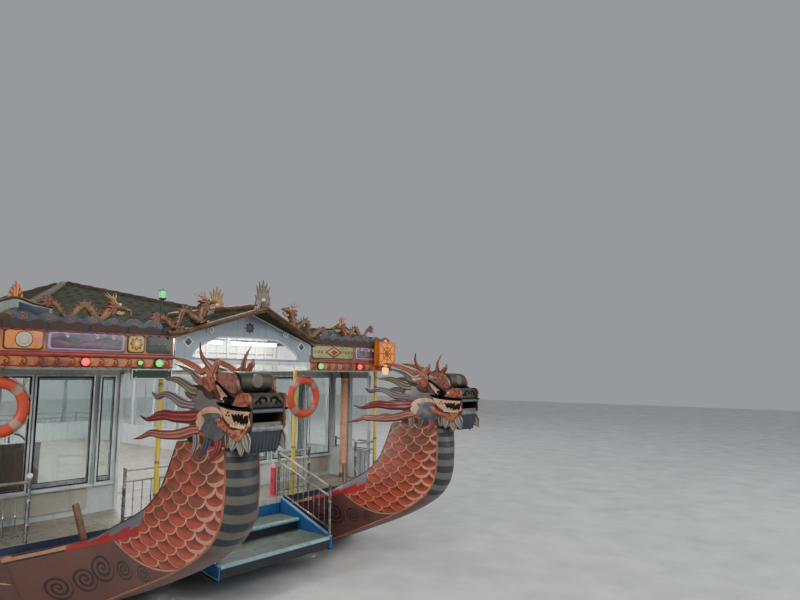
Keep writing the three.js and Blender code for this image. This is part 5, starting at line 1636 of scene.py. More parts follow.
def mast_lamp():
    """The mast's foot and pole, and a green lamp in a cage of four bars."""
    mast = turned(
        (-4.29, 0, 0), "z",
        (16, 0, [(0.06, 3.02), (0.06, 3.16), (0.03, 3.2), (0.024, 3.25), (0.022, 3.43)]),
        (20, 0, [(0.05, 3.43), (0.07, 3.44), (0.07, 3.46), (0.05, 3.465)]),
        (20, 1, [(0.055, 3.465), (0.06, 3.5), (0.06, 3.56), (0.055, 3.59)]),
        (20, 0, [(0.07, 3.59), (0.07, 3.6), (0.03, 3.618), (0.012, 3.622), (0.01, 3.64), (0.0, 3.642)]))
    for turn in np.arange(4) * math.pi / 2 + 0.4:
        x, y = -4.29 + 0.064 * math.cos(turn), 0.064 * math.sin(turn)
        mast += bar((x, y, 3.46), (x, y, 3.592), 0.003, 6)
    build("mast_lamp", "mast_steel lamp_green", mast, "mast_paint", "mast")


def lamp_box():
    """The lamp box at the port corner: a lit panel behind a star and two rings, and a hanging lamp."""
    back, front = -1.563, -1.437
    low, high = (2.915, 2.235), (3.395, 2.695)
    y, z = (low[0] + high[0]) / 2, (low[1] + high[1]) / 2
    parts = frame_board(corners(low, high), corners(low, high, -0.035), "x", back, front)
    parts += prism(corners(low, high, -0.031), "x", back + 0.01, front - 0.012, 1)
    for k, reach in enumerate((0.19, 0.25, 0.19, 0.25)):
        right, up = reach * math.cos(k * math.pi / 4), reach * math.sin(k * math.pi / 4)
        parts += bar((front - 0.008, y - right, z - up), (front - 0.008, y + right, z + up), 0.006, 6, 2)
    for radius in (0.06, 0.12):
        parts += hoop((front - 0.006, y, z), radius, 0.006, 6, 2, 32)
    parts += block((-1.618, 2.985, 2.305), (back + 0.002, 3.325, 2.535))
    parts += turned(
        (-1.5, 3.17, 0), "z",
        (20, 3, [(0.03, 2.235), (0.035, 2.21), (0.06, 2.19), (0.06, 2.12), (0.045, 2.07), (0.02, 2.06)]),
        (20, 2, [(0.064, 2.195), (0.064, 2.205), (0.05, 2.22)]),
        (16, 4, [(0.03, 2.69), (0.03, 2.705), (0.024, 2.73), (0.0, 2.745)]))
    build("corner_lamp_box", "lamp_case lamp_orange black_steel lamp_amber lamp_red", parts, "lamp_panel",
          "lamp_box", bevel=0.002)


class BOAT_OT_fittings(Operator):
    """Hangs the lifebuoys, lamps, lamp box and blank board, and sets the bollard and the mast."""
    bl_idname = "boat.fittings"
    bl_label = "Fittings"

    def execute(self, context):
        for side, y, z in (("port", 1.4, 1.66), ("starboard", -3.39, 1.65)):
            build(f"{side}_ring", "buoy_orange buoy_band rope", moved(lifebuoy(), (-1.8737, y, z)), "buoy",
                  f"{side}_lifebuoy")
        lamps = []
        for y, index, size in ((-2.523, 0, 0.05), (2.523, 0, 0.05), (-1.525, 1, 0.05), (1.525, 1, 0.05),
                               (-1.8, 1, 0.03)):
            lamps += moved(dome_lamp(index, size), (FRIEZE_FACE + 0.016, y, 2.2), turn=FACE_FRONT)
        build("frieze_lamps", "lamp_red lamp_green black_steel black_steel", lamps, "lamp_panel")
        lamp_box()
        blank_board()
        bollard = turned(
            (-2.1, 0.96, 0.0003), "z", (24, 0, [(0.07, 0.0), (0.07, 0.01), (0.052, 0.014), (0.052, 0.47)]),
            (24, 1, [(0.054, 0.47), (0.055, 0.485), (0.05, 0.52), (0.035, 0.545), (0.012, 0.558),
                     (0.0, 0.56)]))
        build("red_bollard", "bollard_red bollard_cap", bollard, "red_paint", "stair_bollard")
        mast_lamp()
        return {"FINISHED"}


# Sterns

# Columns: x, z, half depth, half width, lean in degrees.
TAIL_STATIONS = np.array([
    [-16.07, -0.1, 0.21, 0.16, 0], [-16.23, 0.25, 0.19, 0.15, 20], [-16.48, 0.56, 0.17, 0.13, 38],
    [-16.76, 0.86, 0.15, 0.105, 30], [-16.93, 1.18, 0.13, 0.08, 10], [-16.9, 1.48, 0.1, 0.055, -20],
    [-16.76, 1.7, 0.06, 0.03, -40]])


class BOAT_OT_tails(Operator):
    """Sweeps the scaled tails up from the sterns, with fins and a flame at each tip."""
    bl_idname = "boat.tails"
    bl_label = "Tails"

    def execute(self, context):
        rows, sides = 120, 48
        s = spline(TAIL_STATIONS, rows)
        lean = np.radians(s[:, 4:])
        ring = circle(sides)
        travel = np.concatenate([[0], np.cumsum(np.hypot(*np.diff(s[:, :2], axis=0).T))])
        column = np.broadcast_to(np.arange(sides + 1) / sides * 8, (rows, sides + 1))
        row = np.broadcast_to(-travel[:, None] / 0.1, column.shape)
        swell = 1 + scale_relief(column[:, :sides], row[:, :sides])
        depth, wide = s[:, 2:3] * ring[:, 0] * swell, s[:, 3:4] * ring[:, 1] * swell
        grid = np.stack([s[:, :1] + depth * np.cos(lean), wide, s[:, 1:2] + depth * np.sin(lean)], -1)
        closed = np.concatenate([grid, grid[:, :1]], 1)
        parts = sheet(closed, 0, flow=np.stack([column, row], -1)) + [fan(grid[0]), fan(grid[-1])]
        edge = s[:, :2] - 0.9 * s[:, 2:3] * np.hstack([np.cos(lean), np.sin(lean)])
        for x, z in edge[8:112:8]:
            parts += lock([(x, z, 0.045), (x - 0.07, z + 0.06, 0.035), (x - 0.1, z + 0.15, 0.004)], 1, 0.02,
                          0, 5, 10)
        for k, (dx, dz) in enumerate(((0.05, 0.36), (0.2, 0.3), (-0.1, 0.3), (0.32, 0.16), (-0.16, 0.16))):
            tongue = [(-16.78, 1.66, 0.05), (-16.76 + dx / 2, 1.68 + dz / 2, 0.05),
                      (-16.74 + dx, 1.68 + dz, 0.004)]
            parts += lock(tongue, 1 + k % 2, 0.024, 0, 6, 12)
        for side, y in (("port", STERN_LINE), ("starboard", -STERN_LINE)):
            build(f"{side}_dragon_tail", "tail_scales crimson ornament_ochre", moved(parts, (0, y, 0)),
                  "dragon_paint", f"{side}_tail")
        return {"FINISHED"}


def helm(x, y, z):
    """The helm's cabinet with doors, dials and levers, and the steering wheel, whose axis is at (y, z)."""
    case = block((x, y - 0.26, 0.0003), (x + 0.38, y + 0.26, 0.99))
    top = [(x - 0.004, 0.99), (x + 0.384, 0.99), (x + 0.384, 1.05), (x - 0.004, 1.02)]
    case += prism(top, "y", y - 0.264, y + 0.264, 1)
    for side in (-1, 1):
        a, b = sorted((y + side * 0.02, y + side * 0.24))
        case += block((x - 0.008, a, 0.1), (x, b, 0.62), 1)
        case += moved(dome_lamp(2, 0.012), (x - 0.008, y + side * 0.045, 0.36), turn=FACE_AFT)
    for dy in (-0.17, 0.0, 0.17):
        case += turned((x + 0.25, y + dy, 1.035), "z",
                       (20, 2, [(0.045, 0.0), (0.045, 0.008), (0.036, 0.012)]),
                       (20, 3, [(0.036, 0.009), (0.0, 0.0095)]))
    knob = [(0.0, -0.014), (0.012, -0.008), (0.015, 0.0), (0.012, 0.01), (0.0, 0.014)]
    for dy in (-0.12, -0.08):
        case += bar((x + 0.12, y + dy, 1.03), (x + 0.1, y + dy, 1.13), 0.006, 8, 2)
        case += lathe(knob, "z", 12, 2, (x + 0.1, y + dy, 1.135))
    case += lathe([(0.05, -0.062), (0.05, -0.05), (0.045, -0.045), (0.045, 0.0)], "x", 24, 2, (x, y, z))
    build("helm_cabinet", "helm_wood helm_top stainless dial", case, "helm_wood", "helm_console", bevel=0.003)
    hub = (x - 0.1, y, z)
    wheel = hoop(hub, 0.28, 0.018, 12)
    spoke = lathe([(0.014, 0.03), (0.009, 0.07), (0.013, 0.12), (0.016, 0.15), (0.012, 0.19), (0.009, 0.24),
                   (0.013, 0.265), (0.010, 0.285)], "z", 10)
    for k in range(6):
        wheel += moved(spoke, hub, turn=Matrix.Rotation(k * math.pi / 3, 3, "X"))
    wheel += turned(hub, "x", (24, 1, [(0.0, -0.028), (0.02, -0.027), (0.045, -0.02), (0.045, 0.02),
                                       (0.03, 0.034)]),
                    (16, 1, [(0.015, 0.03), (0.015, 0.1)]))
    build("helm_wheel_rim", "helm_wood stainless", wheel, "helm_wood", "helm_wheel", body="steering_wheel")


def port_screw():
    """A four-bladed propeller: a blade's chord is a sine of the radius, and its pitch is constant."""
    radius = np.linspace(0.05, 0.215, 12)[:, None]
    chord = 0.15 * np.sin(np.clip((radius + 0.02) / 0.235, 0, 1) * math.pi) ** 0.6 + 0.02
    pitch = np.arctan2(0.36, TURN * radius)
    across, thick = (circle(16) * [0.5, 0.06]).T
    across, thick = across * chord, thick * chord * np.linspace(1.3, 0.5, 12)[:, None]
    back = 0.03 * ((radius - 0.05) / 0.165) ** 2
    x = across * np.sin(pitch) - thick * np.cos(pitch)
    y = across * np.cos(pitch) + thick * np.sin(pitch) + back
    blade = sheet(np.stack([x, y, np.broadcast_to(radius, x.shape)], -1), 0, wrap=True, caps=True)
    screw = [p for k in range(4) for p in moved(blade, turn=Matrix.Rotation(k * math.pi / 2, 3, "X"))]
    screw += turned((0, 0, 0), "x", (24, 0, [
        (0.03, 0.12), (0.05, 0.1), (0.058, 0.06), (0.056, -0.06), (0.04, -0.08), (0.03, -0.085),
        (0.022, -0.085),
        (0.02, -0.1), (0.0, -0.105)]), (20, 1, [(0.03, 0.1), (0.03, 0.42)]))
    return moved(screw, (-15.28, STERN_LINE, -1.13))


def port_rudder():
    """A rudder: a rounded foil between two cheeks, on a stock with a tiller arm."""
    share = np.linspace(0, 1, 24)
    half = 0.03 * np.sqrt(share) * (1 - share) ** 0.6 * 2.2 + 0.002
    side = np.stack([-15.482 - 0.466 * share, half], -1)
    fin = prism(np.concatenate([side, side[::-1] * [1, -1]]), "z", -1.328, -0.872)
    for z in (-1.33, -0.885):
        fin += prism([(-15.47, -0.034), (-15.95, -0.012), (-15.95, 0.012), (-15.47, 0.034)], "z", z,
                     z + 0.014)
    fin += lathe([(0.03, -1.2), (0.03, 0.06)], "z", 20, 1, (-15.64, 0, 0))
    fin += block((-15.77, -0.02, 0.02), (-15.64, 0.02, 0.055), 1)
    return moved(fin, (0, STERN_LINE, 0))


class BOAT_OT_steering(Operator):
    """Makes the helm, the propellers and the rudders."""
    bl_idname = "boat.steering"
    bl_label = "Steering and drive"

    def execute(self, context):
        helm(-3.9, -2.5, 0.88)
        screw, rudder = port_screw(), port_rudder()
        for side in ("port", "starboard"):
            far = side == "starboard"
            build(f"{side}_screw_blades", "bronze stainless", moved(screw, mirror=far), "bronze",
                  f"{side}_propeller", body=f"{side}_screw")
            build(f"{side}_rudder_blade", "rudder_steel stainless", moved(rudder, mirror=far), "rudder_steel",
                  f"{side}_rudder", body=f"{side}_steering", bevel=0.002)
        return {"FINISHED"}


# Settings

def colour_property(label, text, *value):
    return FloatVectorProperty(name=label, description=text, subtype="COLOR", size=4, min=0, max=1,
                               default=rgb(*value))


class BoatSettings(PropertyGroup):
    scale_colour: colour_property("Scales", "Middle of the necks' scales", 160, 66, 42)
    scale_rim: colour_property("Scale rims", "Rim of the necks' scales", 188, 130, 110)
    chest_dark: colour_property("Dark bands", "Dark bands of the chests", 26, 33, 42)
    chest_light: colour_property("Light bands", "Light bands of the chests", 84, 82, 72)
    hull_colour: colour_property("Hulls", "Sides of the hulls", 92, 58, 50)
    roof_colour: colour_property("Roof tiles", "Middle of the roof's tiles", 74, 76, 62)
    gable_colour: colour_property("Gable", "Board of the porch's gable", 126, 138, 148)
    stair_colour: colour_property("Steps", "Sides of the boarding steps", 42, 100, 160)
    post_colour: colour_property("Posts", "Posts of the porch and corners", 206, 180, 40)
    buoy_colour: colour_property("Lifebuoys", "Rings of the lifebuoys", 178, 60, 34)
    lamp_strength: FloatProperty(name="Lamp strength", description="Glow of the cabin's lamps", default=3.0,
                                 min=0)
    wear: FloatProperty(name="Wear", description="Share of dirt and scuffs on paint", default=0.55, min=0,
                        max=1,
                        subtype="FACTOR")


# Patterns. Each gives a colour and a height at a place on the surface.

# Columns: x, z and radius of the clouds painted on a bow.
CLOUDS = ((-1.322, -0.38, 0.15), (-1.08, -0.22, 0.17), (-0.753, -0.2, 0.12), (-0.46, -0.2, 0.1),
          (-1.62, -0.5, 0.15))


def scale_pattern(settings, zone=True):
    """Scales in rows with a pale crescent at the foot and painted shade at the root, under the foot of the
    scale above, and painted shade from the whiskers that browns the upper rows. On a neck, the hull's brown
    shows below their edge, and the bow's strake is grey over red."""
    def scales(n, here, x, z):
        column, row, _ = flow_of(n)
        wide = n.ease(x - (z * 0.43 + 0.16), 0.0, 0.2, 0.03, 0.32)
        scale = n.group("Fish scales", Column=column, Row=row, Crescent=wide)
        # Dark red towards the top of each scale: painted shade under the foot of the scale above.
        body = n.mix(n.ease(scale["Rise"], 0.55, 1.2), tuple(settings.scale_colour), (104, 28, 24))
        # Browner higher up, broken by noise: painted shade for the whiskers' shadow on the upper rows, which
        # the tails get too.
        high = z * 0.22 + n.noise(here, 5.0, 2.0)
        body = n.mix(n.ease(high, 0.5, 0.82), body, n.mix(0.75, body, (92, 60, 40)))
        coloured = n.mix(n.ease(scale["Crescent"], 0.86, 0.98), body, tuple(settings.scale_rim))
        line = n.ease(scale["Reach"], 0.955, 1.0)
        return n.mix(line, coloured, (204, 160, 124)), line * 0.4

    def clouds(n, coloured, x, z, below):
        for at_x, at_z, reach in CLOUDS:
            right, up = x - at_x, z - at_z
            far = n.math("SQRT", right * right + up * up)
            ring = n.math("FRACT", far / (reach / 2.4) - n.math("ARCTAN2", up, right) / TURN)
            stroke = n.ease(n.math("ABSOLUTE", ring - 0.5), 0.26, 0.18) * n.ease(far, reach + 0.01, reach)
            coloured = n.mix(stroke * below * 0.85, coloured, (26, 20, 22))
        return coloured

    def pattern(n, here):
        x, _, z = n.split(here)
        coloured, height = scales(n, here, x, z)
        if not zone:
            return coloured, height
        edge = (x + 0.2) * (x + 0.2) * -0.52 + (z + 0.108)
        coloured = n.mix(n.ease(edge, 0.0, 0.006), tuple(settings.hull_colour), coloured)
        rim = n.ease(edge, -0.026, -0.022) * n.ease(edge, -0.002, -0.006)
        coloured = n.mix(rim, coloured, (176, 132, 108))
        over = (x + 1.44) * -0.2766 + (z + 0.045)
        teeth = n.math("FRACT", x * 3.1) * 0.06 + 0.075
        tongue = n.noise(here, 9.0, 1.0) * 0.05 + (x * 0.04 + teeth)
        strake = n.mix(n.ease(over - tongue, 0.0, 0.005), (150, 30, 34), (96, 98, 106))
        low = n.mix(n.ease(over, 0.022, 0.026), (26, 32, 48), (168, 120, 88))
        strake = n.mix(n.ease(x, -1.51, -1.5), low, strake)
        aft = n.ease(over, 0.0, 0.005) * n.ease(x, -0.472, -0.478)
        coloured = clouds(n, coloured, x, z, n.ease(edge, -0.03, -0.035))
        return n.mix(aft, coloured, strake), height
    return pattern


def band_pattern(settings):
    """Bands across the chest, counted down the throat, and the hull's brown below the last one."""
    def pattern(n, here):
        place = (1.0 - flow_of(n)[1]) * BANDS
        odd = n.math("PINGPONG", n.math("FLOOR", place), 1.0)
        banded = n.mix(odd, tuple(settings.chest_dark), tuple(settings.chest_light))
        return n.mix(n.ease(place, BAND_COUNT, BAND_COUNT + 0.02), banded, tuple(settings.hull_colour)), None
    return pattern


def lock_pattern(colour, pale, dark):
    """A lock's colour: pale on its crest, dark in its groove and towards its tip."""
    def pattern(n, here):
        around, along, _ = flow_of(n)
        folded = n.math("ABSOLUTE", n.math("PINGPONG", around * 2.0, 0.5) - 0.25)
        base = n.mix(n.ease(folded, 0.03, 0.13), dark, n.mix(n.ease(folded, 0.1, 0.22), pale, colour))
        return n.mix(n.ease(along, 0.8, 1.0), base, dark), None
    return pattern


def blots(colour, other, size=26.0, low=0.5, high=0.6):
    """A mottled paint: blots of a second colour."""
    def pattern(n, here):
        return n.mix(n.ease(n.noise(here, size, 3.0, 0.6), low, high), colour, other), None
    return pattern


def tile_pattern(colour):
    """Roof tiles: each course and rib a little different, darker with moss in broad patches."""
    def pattern(n, here):
        steps = (TILE_WIDTH, TILE_WIDTH, 0.09)
        cell = [n.math("SNAP", part, step) for part, step in zip(n.split(here), steps)]
        base = n.mix(n.random(*cell) * 0.6, colour, (60, 64, 58))
        moss = n.ease(n.noise(here, 3.0, 4.0, 0.6), 0.5, 0.75)
        return n.mix(moss * 0.5, base, (54, 62, 40)), n.noise(here, 60.0, 3.0)
    return pattern


def chequer_pattern(colour, worn, pitch=0.045):
    """Chequer plate: raised lens-shaped bars that alternate in direction, bright where feet wear them."""
    def pattern(n, here):
        x, y, _ = n.split(here)

        def lens(across_, along, shift):
            u = n.math("FRACT", across_ / pitch + shift) - 0.5
            v = n.math("FRACT", along / pitch + shift) - 0.5
            return n.ease(n.math("POWER", u * 7.0, 2.0) + n.math("POWER", v * 2.6, 2.0), 1.0, 0.5)

        p, q = x + y, x - y
        bars = n.math("MAXIMUM", lens(p, q, 0.0), lens(q, p, 0.5))
        return n.mix(bars * n.ease(n.noise(here, 2.2, 3.0), 0.4, 0.65), colour, worn), bars
    return pattern


def plank_pattern(colour, dark, width):
    """Boards with a dark joint between them, each a little different, and grain along them."""
    def pattern(n, here):
        place = n.split(here)[1] / width
        grain = n.noise(n.vector("MULTIPLY", here, (4.0, 60.0, 60.0)), 1.0, 4.0, 0.6, 0.6)
        base = n.mix(n.random(n.math("FLOOR", place)) * 0.5 + grain * 0.5, colour, dark)
        joint = n.ease(n.math("ABSOLUTE", n.math("FRACT", place) - 0.5), 0.455, 0.485)
        return n.mix(joint, base, (30, 22, 18)), grain * 0.3 - joint
    return pattern


def rust_pattern(colour, amount):
    """Painted steel with rust where the paint has lifted."""
    def pattern(n, here):
        spread = n.noise(here, 2.6, 6.0, 0.7, 0.4)
        rust = n.mix(n.noise(here, 40.0, 3.0), (96, 48, 26), (52, 28, 20))
        edge = n.ease(spread, amount, amount + 0.03)
        return n.mix(edge, colour, rust), edge * -0.4
    return pattern


# Finishes of this boat

# Plain enamels: colour, and roughness and coat where they aren't the usual ones.
PLAIN = {
    "dark_edge": ((52, 30, 26), 0.5, 0.1), "orange": ((176, 84, 44), 0.25, 0.6),
    "cream": ((222, 208, 180), 0.3, 0.5),
    "pleats": ((40, 50, 56), 0.5, 0.1), "roll_disc": ((92, 86, 70), 0.45),
    "scroll_dark": ((50, 34, 34), 0.5, 0.1),
    "scroll_rust": ((150, 78, 56), 0.5, 0.1), "white_ball": ((226, 224, 216), 0.3, 0.5),
    "scroll": ((110, 34, 30),),
    "pale_blue": ((134, 148, 140), 0.55, 0.0), "pale_disc": ((172, 176, 158),),
    "lilac_frame": ((156, 138, 170),),
    "gable_line": ((206, 210, 212),), "navy_paint": ((40, 48, 66),), "pearl": ((226, 214, 180), 0.2, 0.8),
    "board_trim": ((170, 176, 168),), "dial": ((232, 230, 220), 0.3, 0.6),
}
# Carved locks: colour, crest and groove.
LOCK_COLOURS = {
    "brow": ((146, 78, 52), (190, 124, 92), (82, 42, 34)),
    "olive": ((92, 84, 68), (136, 124, 100), (56, 48, 40)),
    "mauve": ((98, 88, 90), (146, 132, 130), (62, 50, 50)),
    "crimson": ((116, 30, 38), (160, 72, 70), (66, 16, 22)),
    "rose": ((142, 82, 70), (184, 122, 102), (86, 44, 38)),
    "navy": ((46, 50, 58), (82, 86, 92), (28, 30, 36)),
    "beard": ((118, 112, 104), (156, 150, 140), (74, 70, 66)),
    "horn": ((112, 54, 42), (150, 88, 66), (66, 32, 28)),
    "leaf_orange": ((196, 104, 44), (226, 146, 78), (96, 44, 24)),
    "fin_red": ((108, 42, 36), (146, 80, 58), (62, 24, 22)),
    "ornament_ochre": ((164, 118, 58), (200, 160, 94), (98, 62, 34)),
}
# Mottled enamels: colour, the blots' colour, size, start and end, and other roughness and coat.
MOTTLED = {
    "tan": ((202, 156, 122), (176, 112, 82), 7.0, 0.45, 0.7, 0.38, 0.4),
    "slate": ((60, 66, 72), (88, 88, 88), 8.0, 0.4, 0.7),
    "gloss_brown": ((158, 88, 62), (94, 50, 40), 20.0, 0.4, 0.62),
    "spotted": ((180, 108, 76), (104, 50, 34), 34.0, 0.5, 0.57),
    "marbled": ((134, 82, 68), (84, 50, 46), 22.0, 0.42, 0.6),
    "roll": ((62, 56, 40), (44, 42, 34), 6.0, 0.4, 0.6, 0.5, 0.1),
    "grey_band": ((112, 112, 108), (84, 84, 84), 12.0, 0.4, 0.6, 0.4, 0.3),
    "ridge": ((84, 66, 52), (62, 54, 44), 8.0, 0.4, 0.65, 0.8, 0.0),
    "verge": ((112, 78, 54), (80, 56, 42), 8.0, 0.4, 0.65, 0.5, 0.2),
    "cloud_blue": ((64, 74, 82), (48, 55, 62), 10.0, 0.4, 0.65, 0.5, 0.2),
    "frieze_ground": ((178, 106, 50), (114, 66, 42), 2.2, 0.42, 0.62, 0.45, 0.3),
    "red_band": ((132, 34, 32), (90, 28, 26), 6.0, 0.45, 0.7),
    "orange_panel": ((216, 132, 48), (188, 98, 36), 5.0, 0.45, 0.7),
    "mauve_panel": ((110, 88, 112), (92, 74, 96), 5.0, 0.4, 0.65),
    "plum": ((106, 70, 84), (88, 60, 76), 9.0, 0.4, 0.65),
    "hill": ((56, 60, 60), (74, 78, 70), 9.0, 0.4, 0.65),
    "ochre_panel": ((200, 158, 64), (170, 122, 48), 5.0, 0.45, 0.7),
    "green_panel": ((148, 152, 78), (118, 126, 66), 5.0, 0.45, 0.7),
    "dark_panel": ((54, 58, 50), (40, 44, 40), 6.0, 0.4, 0.65),
    "ornament": ((128, 96, 58), (88, 56, 44), 11.0, 0.44, 0.6, 0.5, 0.2),
    "carved_grey": ((146, 150, 152), (112, 116, 120), 12.0, 0.4, 0.65, 0.5, 0.2),
    "board_green": ((14, 44, 32), (10, 34, 26), 5.0, 0.4, 0.65, 0.55, 0.0),
    "bollard_red": ((196, 66, 78), (160, 50, 60), 9.0, 0.45, 0.65, 0.4, 0.3),
    "bollard_cap": ((214, 150, 144), (184, 110, 108), 9.0, 0.45, 0.65, 0.4, 0.3),
    "buoy_band": ((150, 122, 108), (124, 98, 88), 9.0, 0.45, 0.7, 0.6, 0.0),
    "lamp_case": ((206, 118, 34), (170, 92, 30), 6.0, 0.45, 0.7, 0.4, 0.3),
    "helm_top": ((60, 62, 64), (46, 48, 50), 20.0, 0.4, 0.6, 0.5, 0.1),
}
# Painted steel: colour, where rust starts, and other roughness, share of the wear and metal.
RUSTED = {
    "strake": ((60, 36, 30), 0.6, 0.55, 1.4), "pale_line": ((176, 140, 116), 0.62),
    "deck_edge": ((196, 200, 198), 0.66),
    "nosing": ((150, 186, 192), 0.68, 0.4), "stair_dark": ((30, 44, 70), 0.66, 0.55),
    "riser": ((34, 40, 48), 0.64, 0.6),
    "black_steel": ((30, 32, 34), 0.66), "wall": ((176, 182, 180), 0.7), "wall_panel": ((158, 156, 142), 0.7),
    "door_panel": ((150, 160, 164), 0.7, 0.45), "mast_steel": ((60, 64, 66), 0.66),
    "rudder_steel": ((70, 74, 78), 0.55, 0.55, 1.0, 0.2),
}
# Metals and pale rails: colour, the blots' colour, size, start and end, roughness, share of the wear
# and metal.
METALS = {
    "stainless": ((150, 150, 152), (110, 110, 112), 9.0, 0.4, 0.7, 0.28, 0.4, 0.9),
    "rail_pale": ((168, 164, 160), (132, 128, 126), 6.0, 0.4, 0.7, 0.34, 0.6, 0.6),
    "baluster": ((128, 130, 132), (92, 94, 96), 12.0, 0.4, 0.7, 0.34, 0.5, 0.7),
    "window_frame": ((204, 208, 208), (174, 178, 178), 5.0, 0.4, 0.7, 0.38, 0.7, 0.3),
    "beam_white": ((222, 224, 222), (196, 198, 196), 4.0, 0.45, 0.75, 0.45, 0.7, 0.0),
    "bronze": ((186, 142, 78), (128, 100, 62), 9.0, 0.45, 0.7, 0.3, 0.6, 0.95),
}
# Boards: colour, darker colour, width, roughness, share of the wear and coat.
PLANKED = {
    "side_deck": ((150, 140, 124), (120, 108, 92), 0.14, 0.6, 1.4, 0.0),
    "inner_board": ((92, 50, 36), (66, 36, 28), 0.3, 0.5, 1.0, 0.0),
    "ceiling": ((206, 208, 202), (188, 190, 184), 0.2, 0.6, 0.5, 0.0),
    # The eave board's colours are darker than its paint: painted shade for the shadow under the crest.
    "eave_board": ((66, 44, 34), (48, 34, 28), 0.5, 0.6, 1.0, 0.0),
    "soffit": ((120, 132, 124), (98, 110, 102), 0.12, 0.6, 1.0, 0.0),
    "helm_wood": ((138, 84, 46), (92, 52, 28), 0.13, 0.32, 0.5, 0.5),
}
# Lamps: colour and share of the lamps' strength.
LAMPS = {
    "lamp_orange": ((230, 130, 36), 0.12), "lamp_amber": ((255, 176, 60), 0.9),
    "lamp_red": ((255, 10, 24), 0.8),
    "lamp_green": ((10, 236, 84), 0.5), "lamp_white": ((246, 250, 255), 55.0),
}


def make_paints(settings):
    """Makes every finish from the tables and the settings."""
    weathering()
    fish_scales()

    def add(key, colour=None, rough=0.42, share=1.0, **more):
        PAINTS[key] = finish(key.replace("_", " ").capitalize(), colour, rough, settings.wear * share, **more)

    def enamel(key, colour=None, rough=0.42, coat=0.2, share=0.7, **more):
        add(key, colour, rough, share, coat=coat, **more)

    def rusty(key, colour, amount, rough=0.5, share=1.0, metal=0.0, coat=0.0):
        add(key, None, rough, share, metal=metal, coat=coat, pattern=rust_pattern(colour, amount))

    for key, row in PLAIN.items():
        enamel(key, *row)
    for key, row in LOCK_COLOURS.items():
        enamel(key, pattern=lock_pattern(*row))
    mottled = dict(MOTTLED, gable=(tuple(settings.gable_colour), (128, 138, 146), 3.0, 0.4, 0.7, 0.45, 0.2),
                   buoy_orange=(tuple(settings.buoy_colour), (176, 66, 36), 7.0, 0.45, 0.7, 0.5, 0.1))
    for key, row in mottled.items():
        enamel(key, None, *(row[5:] or (0.34, 0.35)), pattern=blots(*row[:5]))
    for key, row in RUSTED.items():
        rusty(key, *row)
    rusty("hull", tuple(settings.hull_colour), 0.64, coat=0.1)
    rusty("stair_blue", tuple(settings.stair_colour), 0.69, 0.42, coat=0.2)
    rusty("stair_light", (120, 168, 204), 0.7, 0.42, coat=0.2)
    rusty("yellow_post", tuple(settings.post_colour), 0.7, 0.35, coat=0.3)
    for key, row in METALS.items():
        rough, share, metal = row[5:]
        add(key, None, rough, share, metal=metal, pattern=blots(*row[:5]))
    for key, (colour, dark, width, rough, share, coat) in PLANKED.items():
        add(key, None, rough, share, coat=coat, pattern=plank_pattern(colour, dark, width))
    for key, (colour, share) in LAMPS.items():
        add(key, colour, 0.35, 0.0, bump=0.1, glow=settings.lamp_strength * share)
    enamel("scales", coat=0.3, pattern=scale_pattern(settings), depth=0.002)
    enamel("tail_scales", coat=0.3, pattern=scale_pattern(settings, False), depth=0.002)
    enamel("chest", None, 0.5, 0.1, pattern=band_pattern(settings))
    enamel("black", (12, 10, 10), 0.6, 0.0, 0.2, shine=0.2)
    add("rubber", (28, 28, 30), 0.75, bump=0.5)
    add("gasket", (24, 24, 26), 0.7, 0.5)
    add("rope", None, 0.85, bump=0.8, pattern=blots((180, 170, 146), (140, 130, 108), 80.0, 0.4, 0.6))
    add("deck", None, 0.5, 1.4, metal=0.1, pattern=chequer_pattern((132, 126, 110), (180, 170, 152)),
        depth=0.0015)
    add("tread_plate", None, 0.5, 1.4, pattern=chequer_pattern((108, 118, 108), (160, 166, 154)),
        depth=0.0015)
    add("tiles", None, 0.9, 1.2, shine=0.08, pattern=tile_pattern(tuple(settings.roof_colour)), depth=0.002)
    add("floor", (214, 214, 212), 0.7, 0.0, bump=0.05)
    PAINTS["glass"] = glass_finish()


def glass_finish():
    """Clear window glass with a faint green tint, a little dust in its gloss and plain transmission."""
    material, n, shader, here = new_material("Window glass")
    dust = n.noise(here, 2.4, 5.0, 0.65)
    n.put(shader["Base Color"], n.mix(n.ease(dust, 0.5, 0.8), (244, 251, 249), (224, 232, 228)))
    n.put(shader["Roughness"], n.ease(dust, 0.45, 0.8, 0.0, 0.08))
    n.put(shader["Transmission Weight"], 0.97)
    n.put(shader["IOR"], 1.45)
    return material


# Stage

CAMERA_PLACE = (14.380, -5.990, 3.418)
CAMERA_TURN, CAMERA_RISE, CAMERA_ROLL = 0.69, 0.119, -0.006
LENS = 27.971


def camera_matrix():
    """The camera looks along D, with R to its right: a turn about Z, a rise, then a small roll."""
    turn, rise, roll = CAMERA_TURN, CAMERA_RISE, CAMERA_ROLL
    right = np.array([math.cos(turn), math.sin(turn), 0])
    look = np.array([-math.sin(turn) * math.cos(rise), math.cos(turn) * math.cos(rise), math.sin(rise)])
    up = np.cross(right, look)
    rolled = math.cos(roll) * right - math.sin(roll) * up, math.sin(roll) * right + math.cos(roll) * up
    matrix = Matrix.Identity(4)
    for column, axis in enumerate((rolled[0], rolled[1], -look)):
        matrix.col[column][:3] = axis
    matrix.translation = Vector(CAMERA_PLACE)
    return matrix


def area_light(name, place, aim, size, power, colour=(1, 1, 1)):
    light = bpy.data.lights.new(name, "AREA")
    light.size = size
    light.energy = power
    light.color = colour
    piece = bpy.data.objects.new(name, light)
    piece.location = place
    piece.rotation_euler = (Vector(aim) - Vector(place)).to_track_quat("-Z", "Y").to_euler()
    bpy.context.scene.collection.objects.link(piece)


